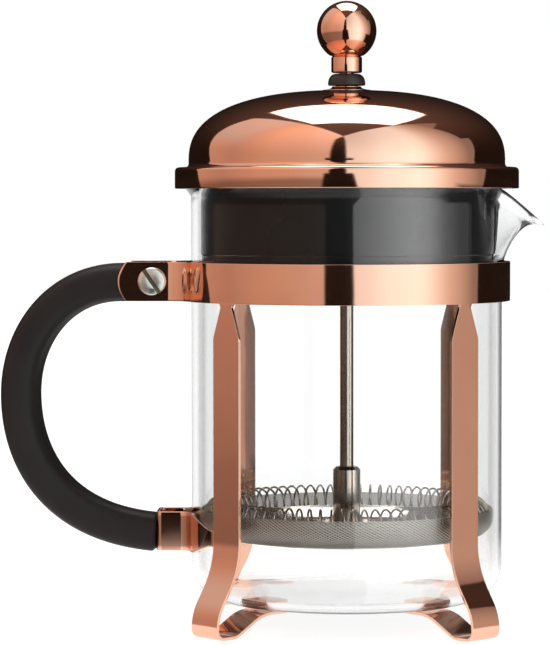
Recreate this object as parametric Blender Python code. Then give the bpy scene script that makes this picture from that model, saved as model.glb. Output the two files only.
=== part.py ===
"""French press: a glass beaker in a plated sheet frame, with a domed lid and a sliding filter plunger.

The press stands on its four feet at Z = 0. The handle points along -X and the pouring spout along +X.
Heights are measured from the feet. Radii and all other X and Y sizes are measured from the axis of the
beaker, which stands at AXIS_X so that the origin is the centre of the whole footprint.
"""

import math

import bmesh
import bpy
from mathutils import Matrix, Vector

MM = 0.001
GAP = 0.3 * MM

# Driving dimensions
GLASS_RADIUS = 45.4 * MM
GLASS_WALL = 2.0 * MM
GLASS_TOP = 128.0 * MM
SPOUT_REACH = 58.2 * MM
HANDLE_REACH = 101.2 * MM
BAND_RADIUS = 47.66 * MM
BAND_LOW = 94.2 * MM
BAND_HIGH = 105.6 * MM
SHEET = 0.85 * MM
ROD_RADIUS = 2.0 * MM
KNOB_TOP = 181.4 * MM
AXIS_X = (HANDLE_REACH - SPOUT_REACH) / 2

# Frame: ears, legs and feet
EAR_FACE_Y = 10.25 * MM
EAR_CORNER_X = -64.6 * MM
EAR_TIP_X = -67.0 * MM
EAR_FILLET = 3.2 * MM
LEG_ANGLES = [math.radians(angle) for angle in (225, 315, 45, 135)]
LEG_WIDTH = 10.7 * MM
NECK_WIDTH = 4.6 * MM
NECK_ROOT_WIDTH = 5.8 * MM
NECK_LENGTH = 1.1 * MM
SHOULDER_HEIGHT = 84.4 * MM
FLARE_ANGLE = math.radians(33)
FLARE_RADIUS = 24.0 * MM
FLARE_RUN = 5.5 * MM
SHIN_RADIUS = 13.8 * MM
ROLL_RADIUS = 2.8 * MM
SOLE_LENGTH = 3.1 * MM
RISE_ANGLE = math.radians(29)
RISE_RADIUS = 7.0 * MM
RISE_RUN = 6.25 * MM
TONGUE_RADIUS = 13.9 * MM
TONGUE_END = 27.0 * MM

# Clamp screw and nut, across the ears
CLAMP_X = -57.2 * MM
CLAMP_Z = 100.0 * MM
SHANK_RADIUS = 2.0 * MM
CLAMP_HEAD_RADIUS = 4.0 * MM
CLAMP_HEAD_HEIGHT = 1.7 * MM
SLOT_WIDTH = 1.1 * MM
SLOT_DEPTH = 0.8 * MM
SLOT_ANGLE = math.radians(-56)
NUT_ACROSS_FLATS = 7.0 * MM
NUT_HEIGHT = 3.0 * MM
SHANK_PAST_NUT = 0.8 * MM

# Lower bracket
BRACKET_SHEET = 0.8 * MM
BRACKET_MID_Z = 27.0 * MM
BRACKET_HALF_HEIGHT = 5.7 * MM
BRACKET_NOSE_X = -55.5 * MM
BRACKET_CHEEK_Y = 6.6 * MM
BRACKET_CORNER = 1.6 * MM
BRACKET_FILLET = 3.0 * MM
BRACKET_RADIUS = 46.5 * MM
WING_TIP_HALF_HEIGHT = 2.4 * MM
WING_TAPER = (math.radians(17), math.radians(33))
WING_END = math.radians(50)

# Handle
HANDLE_THICKNESS = 11.2 * MM
HANDLE_DEPTH = 18.2 * MM
HANDLE_GRIP_DEPTH = 20.0 * MM
HANDLE_FOOT_DEPTH = 14.4 * MM
HANDLE_TOP_Z = 99.1 * MM
HANDLE_MID_Z = 66.7 * MM
HANDLE_START_X = -49.8 * MM
HANDLE_BEND_X = -66.0 * MM
HANDLE_TOP_PULL = 16.3 * MM
HANDLE_SIDE_PULL = 18.0 * MM
HANDLE_FOOT_PULL = (-31.0 * MM, 2.5 * MM)
HANDLE_FOOT = (2.0 * MM, -1.0 * MM)
SECTION_POWER = 3.2
SECTION_SIDES = 18
LOWER_SCREW_LENGTH = 11.0 * MM
LOWER_SHANK_RADIUS = 1.4 * MM
LOWER_HEAD_RADIUS = 2.8 * MM
LOWER_HEAD_HEIGHT = 1.6 * MM

# Beaker
GLASS_BOTTOM = 6.8 * MM
GLASS_CORNER = 10.5 * MM
LIP_START = 121.0 * MM
LIP_FLARE = 2.0 * MM
SPOUT_LOW = 104.0 * MM
SPOUT_HALF_ANGLE = math.radians(27)
SPOUT_DROP = 12.0 * MM

# Lid
DOME_SHEET = 0.6 * MM
DOME_RADIUS = 46.15 * MM
DOME_BASE = 134.6 * MM
DOME_TOP = 155.4 * MM
DOME_POWER = 2.48
DOME_ROWS = 8
PINCH_RADIUS = 45.6 * MM
PINCH_Z = 133.8 * MM
RIM_RADIUS = 50.15 * MM
RIM_LOW = 126.8 * MM
RIM_HIGH = 133.0 * MM
RIM_SHOULDER = 1.2 * MM
RIM_FILLET = 0.6 * MM
STEM_HOLE_RADIUS = 3.5 * MM
FERRULE_RADIUS = 7.1 * MM
FERRULE_NECK_RADIUS = 4.3 * MM
NECK_TOP = 156.5 * MM
BUSH_LOW = 156.8 * MM
BUSH_RADIUS = 5.45 * MM
BUSH_TOP = 160.2 * MM
BUSH_TOP_RADIUS = 3.3 * MM
BUSH_EDGE = 0.6 * MM
SKIRT_RADIUS = 42.6 * MM
SKIRT_WALL = 1.6 * MM
SKIRT_LOW = 99.0 * MM
SKIRT_STEP_Z = 107.5 * MM
SKIRT_STEP = 0.35 * MM
FLANGE_RADIUS = 48.5 * MM
FLANGE_THICKNESS = 1.5 * MM
STEM_RADIUS = 5.0 * MM
STEM_DEPTH = 4.0 * MM
NIPPLE_RADIUS = 3.2 * MM
NIPPLE_TOP = 158.6 * MM
SLOT_COUNT = 5
POUR_SLOT_WIDTH = 2.4 * MM
POUR_SLOT_LOW = 106.0 * MM
POUR_SLOT_HIGH = 122.0 * MM
POUR_SLOT_PITCH = math.radians(6)

# Plunger
KNOB_RADIUS = 8.7 * MM
COLLAR_RADIUS = 4.5 * MM
COLLAR_LOW = 160.5 * MM
COLLAR_HIGH = 165.2 * MM
ROD_LOW = 21.4 * MM
ROD_HIGH = 169.7 * MM
SLEEVE_RADIUS = 4.05 * MM
SLEEVE_HIGH = 45.6 * MM
SPIRAL_PLATE_Z = 27.05 * MM
SPIRAL_PLATE_RADIUS = 32.8 * MM
SPIRAL_PLATE_FLAT_RADIUS = 26.4 * MM
SPIRAL_PLATE_RISE = 3.45 * MM
PLATE_HOLE_RINGS = ((11 * MM, 6), (21 * MM, 12))
PLATE_THICKNESS = 0.5 * MM
PLATE_HOLE_RADIUS = 2.4 * MM
COIL_RING_RADIUS = 37.4 * MM
COIL_LOOP_RADIUS = 4.0 * MM
COIL_Z = 32.5 * MM
COIL_WIRE_RADIUS = 0.28 * MM
COIL_TURNS = 45
MESH_SHEET = 0.35 * MM
MESH_LOW = 25.6 * MM
MESH_RADIUS = 43.0 * MM
MESH_BULGE_Z = 31.9 * MM
MESH_BULGE_DEPTH = 6.6 * MM
MESH_TURN_IN = 108
EYELET_RADIUS = 7.0 * MM
CROSS_PLATE_Z = 24.8 * MM
CROSS_PLATE_RADIUS = 32.0 * MM
CROSS_ARM_WIDTH = 8.0 * MM
CROSS_HUB_RADIUS = 9.0 * MM
CROSS_RING_RADIUS = 27.0 * MM
FILTER_NUT_RADIUS = 5.0 * MM
FILTER_NUT_LOW = 21.8 * MM

ROUND_STEPS = 42
GLASS_STEPS = 54
SMALL_STEPS = 24
BORE_RADIUS = ROD_RADIUS + GAP


class Walk:
    """A pen that walks over a plane in straight runs and round bends, and keeps the points it passes."""

    def __init__(self, start, heading):
        self.points = [tuple(start)]
        self.heading = heading

    def forward(self, length):
        x, y = self.points[-1]
        self.points.append((x + length * math.cos(self.heading), y + length * math.sin(self.heading)))

    def bend(self, radius, angle, steps):
        """A round bend, to the left when the angle is positive."""
        side = math.copysign(1, angle)
        x, y = self.points[-1]
        centre_x = x - side * radius * math.sin(self.heading)
        centre_y = y + side * radius * math.cos(self.heading)
        start = self.heading
        for step in range(1, steps + 1):
            self.heading = start + angle * step / steps
            self.points.append((
                centre_x + side * radius * math.sin(self.heading),
                centre_y - side * radius * math.cos(self.heading),
            ))


def arc(centre, radius, start, end, steps):
    """Points round a circle, from one angle in degrees to another."""
    points = []
    for step in range(steps + 1):
        angle = math.radians(start + (end - start) * step / steps)
        points.append((centre[0] + radius * math.cos(angle), centre[1] + radius * math.sin(angle)))
    return points


def polar(radius, angle):
    return radius * math.cos(angle), radius * math.sin(angle)


def spaced(start, end, longest):
    """Even angles from start to end, no further apart than the longest step, with the start left out."""
    steps = math.ceil(abs(end - start) / longest)
    return [start + (end - start) * step / steps for step in range(1, steps + 1)]


def material(name, colour, roughness, metallic, transmission=0.0):
    made = bpy.data.materials.new(name)
    made.use_nodes = True
    shader = made.node_tree.nodes["Principled BSDF"]
    shader.inputs["Base Color"].default_value = (*colour, 1)
    shader.inputs["Roughness"].default_value = roughness
    shader.inputs["Metallic"].default_value = metallic
    shader.inputs["Transmission Weight"].default_value = transmission
    made.diffuse_color = (*colour, 1)
    return made


def copper(name):
    return material(name, (0.86, 0.47, 0.33), 0.12, 1.0)


def steel(name, roughness=0.25):
    return material(name, (0.62, 0.59, 0.55), roughness, 1.0)


def black_plastic(name, roughness=0.45):
    return material(name, (0.022, 0.020, 0.020), roughness, 0.0)


def empty(name, parent=None, location=(0, 0, 0)):
    made = bpy.data.objects.new(name, None)
    made.location = location
    made.parent = parent
    bpy.context.collection.objects.link(made)
    return made


def place(bm, name, parent, surface, sharp_angle=40):
    """Turns a bmesh into a smooth-shaded object under its parent."""
    mesh = bpy.data.meshes.new(name)
    bm.to_mesh(mesh)
    bm.free()
    mesh.shade_smooth()
    mesh.set_sharp_from_angle(angle=math.radians(sharp_angle))
    made = bpy.data.objects.new(name, mesh)
    made.parent = parent
    bpy.context.collection.objects.link(made)
    if surface:
        mesh.materials.append(surface)
    return made


def spun(outline, closed, steps=ROUND_STEPS):
    """A bmesh made by turning an outline of (radius, height) points about Z."""
    bm = bmesh.new()
    verts = [bm.verts.new((radius, 0, height)) for radius, height in outline]
    edges = [bm.edges.new(pair) for pair in zip(verts, verts[1:])]
    if closed:
        edges.append(bm.edges.new((verts[-1], verts[0])))
    bmesh.ops.spin(
        bm, geom=verts + edges, cent=(0, 0, 0), axis=(0, 0, 1), angle=math.tau, steps=steps, use_merge=True
    )
    bmesh.ops.remove_doubles(bm, verts=bm.verts, dist=0.001 * MM)
    return bm


def turned(name, parent, surface, outline, steps=ROUND_STEPS):
    """A solid of revolution: an outline that starts and ends on the axis, or a closed ring beside it."""
    on_axis = outline[0][0] == 0
    bm = spun(outline, not on_axis, steps)
    bmesh.ops.recalc_face_normals(bm, faces=bm.faces)
    return place(bm, name, parent, surface)


def thicken(obj, thickness, inward=True):
    """Gives a sheet its thickness, behind its outer face."""
    solidify = obj.modifiers.new("Sheet", "SOLIDIFY")
    solidify.thickness = thickness
    solidify.offset = -1 if inward else 1
    solidify.use_even_offset = True


def cut(obj, cutter):
    cutter.hide_render = True
    cutter.display_type = "WIRE"
    boolean = obj.modifiers.new(cutter.name, "BOOLEAN")
    boolean.operation = "DIFFERENCE"
    boolean.object = cutter


def box_cutter(name, parent, size, location=(0, 0, 0), rotation=(0, 0, 0)):
    bm = bmesh.new()
    bmesh.ops.create_cube(bm, size=1)
    bmesh.ops.scale(bm, vec=size, verts=bm.verts)
    made = place(bm, name, parent, None)
    made.location = location
    made.rotation_euler = rotation
    return made


def rod_cutter(name, parent, radius, length, location=(0, 0, 0), rotation=(0, 0, 0), sides=16):
    bm = bmesh.new()
    bmesh.ops.create_cone(
        bm, cap_ends=True, segments=sides, radius1=radius, radius2=radius, depth=length
    )
    made = place(bm, name, parent, None)
    made.location = location
    made.rotation_euler = rotation
    return made


# Frame


def band_plan():
    """(x, y) points along the band's outer face, from the front ear's corner round to the rear ear's corner,
    and the index at which each leg's neck starts."""
    centre_y = EAR_FACE_Y + EAR_FILLET
    centre_distance = BAND_RADIUS + EAR_FILLET
    fillet_x = -math.sqrt(centre_distance**2 - centre_y**2)
    opening = math.atan2(centre_y, -fillet_x)
    front = Walk((EAR_CORNER_X, -EAR_FACE_Y), 0)
    front.forward(fillet_x - EAR_CORNER_X)
    front.bend(EAR_FILLET, opening - math.pi / 2, 5)
    points = list(front.points)

    neck_half = math.asin(NECK_ROOT_WIDTH / 2 / BAND_RADIUS)
    angle = math.pi + opening
    necks = []
    for leg in range(4):
        leg_angle = math.pi + math.radians(45 + 90 * leg)
        angles = spaced(angle, leg_angle - neck_half, math.radians(6))
        points += [polar(BAND_RADIUS, a) for a in angles]
        necks.append(len(points) - 1)
        angle = leg_angle + neck_half
        points.append(polar(BAND_RADIUS, angle))
    points += [polar(BAND_RADIUS, a) for a in spaced(angle, 3 * math.pi - opening, math.radians(6))]
    points += [(x, -y) for x, y in reversed(front.points[:-1])]
    return points, necks


def leg_rows():
    """(radius, height, half width) of each row down a leg, round its foot and in to the tongue's end."""
    drop = FLARE_RADIUS * math.sin(FLARE_ANGLE) + FLARE_RUN * math.cos(FLARE_ANGLE)
    drop += SHIN_RADIUS * math.sin(FLARE_ANGLE) + ROLL_RADIUS
    walk = Walk((BAND_RADIUS, drop), -math.pi / 2)
    walk.bend(FLARE_RADIUS, FLARE_ANGLE, 6)
    walk.forward(FLARE_RUN)
    walk.bend(SHIN_RADIUS, -FLARE_ANGLE, 4)
    walk.bend(ROLL_RADIUS, -math.pi / 2, 6)
    walk.forward(SOLE_LENGTH)
    walk.bend(RISE_RADIUS, -RISE_ANGLE, 3)
    walk.forward(RISE_RUN)
    walk.bend(TONGUE_RADIUS, RISE_ANGLE, 4)
    tongue_z = walk.points[-1][1]
    rows = [
        (BAND_RADIUS, BAND_LOW - NECK_LENGTH, NECK_WIDTH / 2),
        (BAND_RADIUS, SHOULDER_HEIGHT, LEG_WIDTH / 2),
    ]
    rows += [(radius, height, LEG_WIDTH / 2) for radius, height in walk.points]
    for back, share in ((2.5 * MM, 1.0), (0.8 * MM, 0.85), (0.0, 0.55)):
        rows.append((TONGUE_END + back, tongue_z, share * LEG_WIDTH / 2))
    return rows


def add_leg(bm, start, end, angle, rows):
    """Hangs a leg from the band's lower edge, between the two corners of its neck."""
    outward = Vector((math.cos(angle), math.sin(angle), 0))
    along = Vector((-math.sin(angle), math.cos(angle), 0))
    upper = (start, end)
    for radius, height, half_width in rows:
        middle = outward * radius + Vector((0, 0, height))
        lower = [bm.verts.new(middle + along * side) for side in (-half_width, half_width)]
        bm.faces.new((lower[0], lower[1], upper[1], upper[0]))
        upper = lower


def add_ear_tip(bm, low, high):
    """Closes an ear with the shallow arc of its end."""
    x, y = low.co.x, low.co.y
    half = (high.co.z - low.co.z) / 2
    bulge = EAR_CORNER_X - EAR_TIP_X
    radius = (half**2 + bulge**2) / (2 * bulge)
    reach = math.degrees(math.asin(half / radius))
    tip = []
    for px, pz in arc((x - bulge + radius, low.co.z + half), radius, 180 - reach, 180 + reach, 6)[1:-1]:
        tip.append(bm.verts.new((px, y, pz)))
    ring = [high] + tip + [low]
    bm.faces.new(ring if y < 0 else list(reversed(ring)))


def make_frame(parent):
    plan, necks = band_plan()
    bm = bmesh.new()
    low = [bm.verts.new((x, y, BAND_LOW)) for x, y in plan]
    high = [bm.verts.new((x, y, BAND_HIGH)) for x, y in plan]
    for i in range(len(plan) - 1):
        bm.faces.new((low[i], low[i + 1], high[i + 1], high[i]))
    add_ear_tip(bm, low[0], high[0])
    add_ear_tip(bm, low[-1], high[-1])
    rows = leg_rows()
    for neck, angle in zip(necks, LEG_ANGLES):
        add_leg(bm, low[neck], low[neck + 1], angle, rows)
    frame = place(bm, "frame", parent, copper("frame_plating"))
    thicken(frame, SHEET)
    cut(frame, rod_cutter(
        "clamp_hole", parent, SHANK_RADIUS + GAP, 4 * EAR_FACE_Y,
        (CLAMP_X, 0, CLAMP_Z), (math.pi / 2, 0, 0),
    ))


def slotted_screw(name, parent, surface, shank_radius, length, head_radius, head_height, slot_angle):
    """A screw along Z with the underside of its head at Z = 0 and its shank below."""
    dome = 0.25 * head_height
    outline = [(0, -length), (shank_radius * 0.75, -length), (shank_radius, -length + shank_radius * 0.4)]
    outline += [(shank_radius, 0), (head_radius, 0), (head_radius, head_height - 2 * dome)]
    outline += [(head_radius * 0.93, head_height - dome), (head_radius * 0.6, head_height - 0.3 * dome)]
    outline.append((0, head_height))
    screw = turned(name, parent, surface, outline, SMALL_STEPS)
    slot = box_cutter(
        name + "_slot", screw, (4 * head_radius, SLOT_WIDTH, 2 * SLOT_DEPTH),
        (0, 0, head_height), (0, 0, slot_angle),
    )
    cut(screw, slot)
    return screw


def make_clamp(parent):
    nickel = steel("clamp_nickel", 0.2)
    head_y = -EAR_FACE_Y - GAP
    length = 2 * EAR_FACE_Y + 2 * GAP + NUT_HEIGHT + SHANK_PAST_NUT
    screw = slotted_screw(
        "clamp_screw", parent, nickel, SHANK_RADIUS, length, CLAMP_HEAD_RADIUS, CLAMP_HEAD_HEIGHT, SLOT_ANGLE,
    )
    screw.location = (CLAMP_X, head_y, CLAMP_Z)
    screw.rotation_euler = (math.pi / 2, 0, 0)

    corner = NUT_ACROSS_FLATS / 2 / math.cos(math.pi / 6)
    bore = SHANK_RADIUS + GAP
    outline = [(bore, 0), (corner, 0), (corner, NUT_HEIGHT), (bore, NUT_HEIGHT)]
    bm = spun(outline, True, SMALL_STEPS)
    for vert in bm.verts:
        if vert.co.xy.length > bore * 1.2:
            turn = math.atan2(vert.co.y, vert.co.x) % (math.pi / 3) - math.pi / 6
            flat = NUT_ACROSS_FLATS / 2 / math.cos(turn)
            vert.co.xy = vert.co.xy.normalized() * flat
    bmesh.ops.recalc_face_normals(bm, faces=bm.faces)
    nut = place(bm, "clamp_nut", parent, steel("nut_nickel", 0.3))
    nut.location = (CLAMP_X, EAR_FACE_Y + GAP + NUT_HEIGHT, CLAMP_Z)
    nut.rotation_euler = (math.pi / 2, 0, 0)


# Lower bracket


def bracket_plan():
    """(x, y) points along the bracket's outer face, from the rear wing round the nose to the front wing."""
    centre_y = BRACKET_CHEEK_Y + BRACKET_FILLET
    centre_distance = BRACKET_RADIUS + BRACKET_FILLET
    fillet_x = -math.sqrt(centre_distance**2 - centre_y**2)
    opening = math.atan2(centre_y, -fillet_x)
    walk = Walk(polar(BRACKET_RADIUS, math.pi - WING_END), math.pi - WING_END + math.pi / 2)
    walk.bend(BRACKET_RADIUS, WING_END - opening, 8)
    walk.bend(BRACKET_FILLET, opening - math.pi / 2, 5)
    walk.forward(fillet_x - BRACKET_NOSE_X - BRACKET_CORNER)
    walk.bend(BRACKET_CORNER, math.pi / 2, 4)
    rear = walk.points
    return rear + [(x, -y) for x, y in reversed(rear)]


def wing_half_height(x, y):
    """Half the strip's height: full round the nose, and tapered along each wing towards its leg."""
    angle = abs(math.atan2(y, -x))
    start, end = WING_TAPER
    share = min(max((angle - start) / (end - start), 0), 1)
    return BRACKET_HALF_HEIGHT + (WING_TIP_HALF_HEIGHT - BRACKET_HALF_HEIGHT) * share


def make_bracket(parent):
    bm = bmesh.new()
    low = []
    high = []
    for x, y in bracket_plan():
        half = wing_half_height(x, y)
        low.append(bm.verts.new((x, y, BRACKET_MID_Z - half)))
        high.append(bm.verts.new((x, y, BRACKET_MID_Z + half)))
    for i in range(len(low) - 1):
        bm.faces.new((low[i], low[i + 1], high[i + 1], high[i]))
    bracket = place(bm, "lower_bracket", parent, copper("bracket_plating"))
    thicken(bracket, BRACKET_SHEET)
    cut(bracket, rod_cutter(
        "lower_screw_hole", parent, LOWER_SHANK_RADIUS + GAP, 6 * MM,
        (BRACKET_NOSE_X, 0, BRACKET_MID_Z), (0, math.pi / 2, 0),
    ))

    screw = slotted_screw(
        "lower_screw", parent, steel("lower_screw_steel"), LOWER_SHANK_RADIUS, LOWER_SCREW_LENGTH,
        LOWER_HEAD_RADIUS, LOWER_HEAD_HEIGHT, 0,
    )
    screw.location = (BRACKET_NOSE_X + BRACKET_SHEET + GAP, 0, BRACKET_MID_Z)
    screw.rotation_euler = (0, math.pi / 2, 0)


# Handle


def bezier(start, control_1, control_2, end, steps):
    points = []
    for step in range(1, steps + 1):
        t = step / steps
        weights = ((1 - t) ** 3, 3 * t * (1 - t) ** 2, 3 * t * t * (1 - t), t**3)
        points.append(tuple(
            sum(w * p[k] for w, p in zip(weights, (start, control_1, control_2, end))) for k in (0, 1)
        ))
    return points


def handle_path():
    """(x, z) points along the middle of the handle, from between the ears to inside the bracket's nose."""
    side_x = -(HANDLE_REACH - HANDLE_THICKNESS / 2)
    bend = (HANDLE_BEND_X, HANDLE_TOP_Z)
    above_side = (side_x, HANDLE_MID_Z + HANDLE_SIDE_PULL)
    side = (side_x, HANDLE_MID_Z)
    below_side = (side_x, HANDLE_MID_Z - HANDLE_SIDE_PULL)
    foot = (BRACKET_NOSE_X + HANDLE_FOOT[0], BRACKET_MID_Z + HANDLE_FOOT[1])
    before_foot = (foot[0] + HANDLE_FOOT_PULL[0], foot[1] + HANDLE_FOOT_PULL[1])
    path = [(HANDLE_START_X, HANDLE_TOP_Z), ((HANDLE_START_X + HANDLE_BEND_X) / 2, HANDLE_TOP_Z), bend]
    path += bezier(bend, (bend[0] - HANDLE_TOP_PULL, bend[1]), above_side, side, 10)
    path += bezier(side, below_side, before_foot, foot, 12)
    return path


def handle_depth(share):
    """Depth along Y: it swells a little in the grip and narrows towards the lower end."""
    grip = min(max((share - 0.15) / 0.6, 0), 1)
    swell = (HANDLE_GRIP_DEPTH - HANDLE_DEPTH) * math.sin(math.pi * grip)
    taper = min(max((share - 0.55) / 0.4, 0), 1)
    ease = taper * taper * (3 - 2 * taper)
    return HANDLE_DEPTH + swell + (HANDLE_FOOT_DEPTH - HANDLE_DEPTH) * ease


def rounded_section(width, depth, steps):
    """A squarish oval, as (across, along Y) points."""
    section = []
    for step in range(steps):
        angle = math.tau * (step + 0.5) / steps
        c, s = math.cos(angle), math.sin(angle)
        section.append((
            math.copysign(abs(c) ** (2 / SECTION_POWER), c) * width / 2,
            math.copysign(abs(s) ** (2 / SECTION_POWER), s) * depth / 2,
        ))
    return section


def make_handle(parent):
    path = handle_path()
    sides = SECTION_SIDES
    bm = bmesh.new()
    rings = []
    for i, (x, z) in enumerate(path):
        before = path[max(i - 1, 0)]
        after = path[min(i + 1, len(path) - 1)]
        forward = Vector((after[0] - before[0], 0, after[1] - before[1])).normalized()
        across = Vector((-forward.z, 0, forward.x))
        section = rounded_section(HANDLE_THICKNESS, handle_depth(i / (len(path) - 1)), sides)
        centre = Vector((x, 0, z))
        rings.append([bm.verts.new(centre + across * u + Vector((0, v, 0))) for u, v in section])
    for ring, following in zip(rings, rings[1:]):
        for k in range(sides):
            n = (k + 1) % sides
            bm.faces.new((ring[k], ring[n], following[n], following[k]))
    bm.faces.new(list(reversed(rings[0])))
    bm.faces.new(rings[-1])
    bmesh.ops.recalc_face_normals(bm, faces=bm.faces)
    handle = place(bm, "handle", parent, black_plastic("handle_black", 0.5))

    cut(handle, rod_cutter(
        "handle_clamp_hole", parent, SHANK_RADIUS + GAP, 4 * EAR_FACE_Y,
        (CLAMP_X, 0, CLAMP_Z), (math.pi / 2, 0, 0),
    ))
    past_foot = 4 * HANDLE_FOOT[0]
    cut(handle, box_cutter(
        "handle_foot_trim", parent, (past_foot, 2 * HANDLE_FOOT_DEPTH, 2 * HANDLE_THICKNESS),
        (BRACKET_NOSE_X - GAP + past_foot / 2, 0, BRACKET_MID_Z),
    ))
    cut(handle, rod_cutter(
        "handle_screw_hole", parent, LOWER_SHANK_RADIUS + GAP, 2 * LOWER_SCREW_LENGTH,
        (BRACKET_NOSE_X, 0, BRACKET_MID_Z), (0, math.pi / 2, 0),
    ))


# Beaker


def spout_shift(angle, share):
    """How far out and how far down the spout takes a point of the wall. share runs from 0 at the foot of the
    spout to 1 at the rim."""
    if share <= 0 or abs(angle) >= SPOUT_HALF_ANGLE:
        return 0, 0
    side = 0.5 + 0.5 * math.cos(math.pi * angle / SPOUT_HALF_ANGLE)
    out = SPOUT_REACH - GLASS_RADIUS - LIP_FLARE
    return out * side * share**1.25, SPOUT_DROP * side * share**2.4


def make_beaker(parent):
    flat_radius = GLASS_RADIUS - GLASS_CORNER
    outline = [(0, GLASS_BOTTOM)]
    outline += arc((flat_radius, GLASS_BOTTOM + GLASS_CORNER), GLASS_CORNER, -90, 0, 5)
    outline.append((GLASS_RADIUS, SPOUT_LOW))
    for share in (0.22, 0.42, 0.58, 0.71):
        outline.append((GLASS_RADIUS, SPOUT_LOW + share * (GLASS_TOP - SPOUT_LOW)))
    for share in (0.4, 0.8, 1.0):
        height = LIP_START + share * (GLASS_TOP - LIP_START)
        outline.append((GLASS_RADIUS + LIP_FLARE * min(share / 0.8, 1) ** 1.5, height))
    bm = spun(outline, False, GLASS_STEPS)
    bmesh.ops.recalc_face_normals(bm, faces=bm.faces)
    for vert in bm.verts:
        angle = math.atan2(vert.co.y, vert.co.x)
        out, down = spout_shift(angle, (vert.co.z - SPOUT_LOW) / (GLASS_TOP - SPOUT_LOW))
        vert.co.xy *= 1 + out / max(vert.co.xy.length, MM)
        vert.co.z -= down
    beaker = place(bm, "beaker", parent, material("glass", (0.95, 0.97, 0.97), 0.02, 0.0, 1.0))
    lowest = min(beaker.data.polygons, key=lambda face: face.center.z)
    thicken(beaker, GLASS_WALL, inward=lowest.normal.z < 0)


# Lid


def dome_height(radius):
    return DOME_BASE + (DOME_TOP - DOME_BASE) * (1 - (radius / DOME_RADIUS) ** DOME_POWER) ** (1 / DOME_POWER)


def dome_outline(offset):
    """The lid's face from the hole at its top down to the foot of the rim, moved in by the sheet."""
    points = []
    for step in range(DOME_ROWS + 1):
        share = math.sin(math.pi / 2 * step / DOME_ROWS) ** 0.85
        radius = STEM_HOLE_RADIUS + (DOME_RADIUS - STEM_HOLE_RADIUS) * share
        points.append((radius - offset * share, dome_height(radius) - offset * (1 - 0.6 * share)))
    points.append((PINCH_RADIUS - offset, PINCH_Z))
    points.append((PINCH_RADIUS + RIM_FILLET - offset, RIM_HIGH - offset))
    points += arc((RIM_RADIUS - RIM_SHOULDER, RIM_HIGH - RIM_SHOULDER), RIM_SHOULDER - offset, 90, 0, 3)
    points.append((RIM_RADIUS - offset, RIM_LOW))
    return points


def make_lid(lid_carrier, lid):
    outer = dome_outline(0)
    inner = dome_outline(DOME_SHEET)
    turned("lid_dome", lid, copper("lid_plating"), outer + list(reversed(inner)))

    flange_low = GLASS_TOP + GAP
    flange_high = flange_low + FLANGE_THICKNESS
    stem_top = DOME_TOP - DOME_SHEET - GAP
    stem_low = flange_low - STEM_DEPTH
    inner_radius = SKIRT_RADIUS - SKIRT_WALL
    outline = [
        (BORE_RADIUS, NIPPLE_TOP), (BORE_RADIUS, stem_low), (STEM_RADIUS, stem_low),
        (STEM_RADIUS, flange_low), (inner_radius, flange_low), (inner_radius, SKIRT_LOW),
        (SKIRT_RADIUS - SKIRT_STEP, SKIRT_LOW), (SKIRT_RADIUS - SKIRT_STEP, SKIRT_STEP_Z),
        (SKIRT_RADIUS, SKIRT_STEP_Z + SKIRT_STEP), (SKIRT_RADIUS, flange_low),
        (FLANGE_RADIUS, flange_low), (FLANGE_RADIUS, flange_high), (STEM_RADIUS, flange_high),
        (STEM_RADIUS, stem_top), (NIPPLE_RADIUS, stem_top), (NIPPLE_RADIUS, NIPPLE_TOP),
    ]
    insert = turned("lid_insert", lid, black_plastic("insert_black", 0.3), outline)
    slots = bmesh.new()
    size = Matrix.Diagonal((4 * SKIRT_WALL, POUR_SLOT_WIDTH, POUR_SLOT_HIGH - POUR_SLOT_LOW, 1))
    place_on_skirt = Matrix.Translation((SKIRT_RADIUS, 0, (POUR_SLOT_LOW + POUR_SLOT_HIGH) / 2))
    for number in range(SLOT_COUNT):
        angle = (number - (SLOT_COUNT - 1) / 2) * POUR_SLOT_PITCH
        bmesh.ops.create_cube(slots, size=1, matrix=Matrix.Rotation(angle, 4, "Z") @ place_on_skirt @ size)
    cut(insert, place(slots, "pour_slots", lid, None))

    collar_low = DOME_TOP + GAP
    ferrule = [
        (STEM_HOLE_RADIUS, collar_low), (FERRULE_RADIUS, collar_low), (FERRULE_RADIUS, collar_low + 0.2 * MM),
        ((FERRULE_RADIUS + FERRULE_NECK_RADIUS) / 2, collar_low + 0.4 * MM),
        (FERRULE_NECK_RADIUS, NECK_TOP - 0.3 * MM), (FERRULE_NECK_RADIUS, NECK_TOP),
        (STEM_HOLE_RADIUS, NECK_TOP),
    ]
    turned("lid_ferrule", lid_carrier, copper("ferrule_plating"), ferrule, SMALL_STEPS)

    crown_low = BUSH_LOW + BUSH_EDGE
    crown_width = BUSH_RADIUS - BUSH_TOP_RADIUS
    bush = [(BORE_RADIUS, BUSH_TOP)]
    for radius, rise in arc((BUSH_TOP_RADIUS, 0), crown_width, 90, 0, 5):
        bush.append((radius, crown_low + rise * (BUSH_TOP - crown_low) / crown_width))
    bush += [(BUSH_RADIUS, BUSH_LOW), (STEM_HOLE_RADIUS, BUSH_LOW)]
    bush += [(STEM_HOLE_RADIUS, NIPPLE_TOP + GAP), (BORE_RADIUS, NIPPLE_TOP + GAP)]
    turned("rod_bush", lid_carrier, black_plastic("bush_black", 0.3), bush, SMALL_STEPS)


# Plunger


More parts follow.
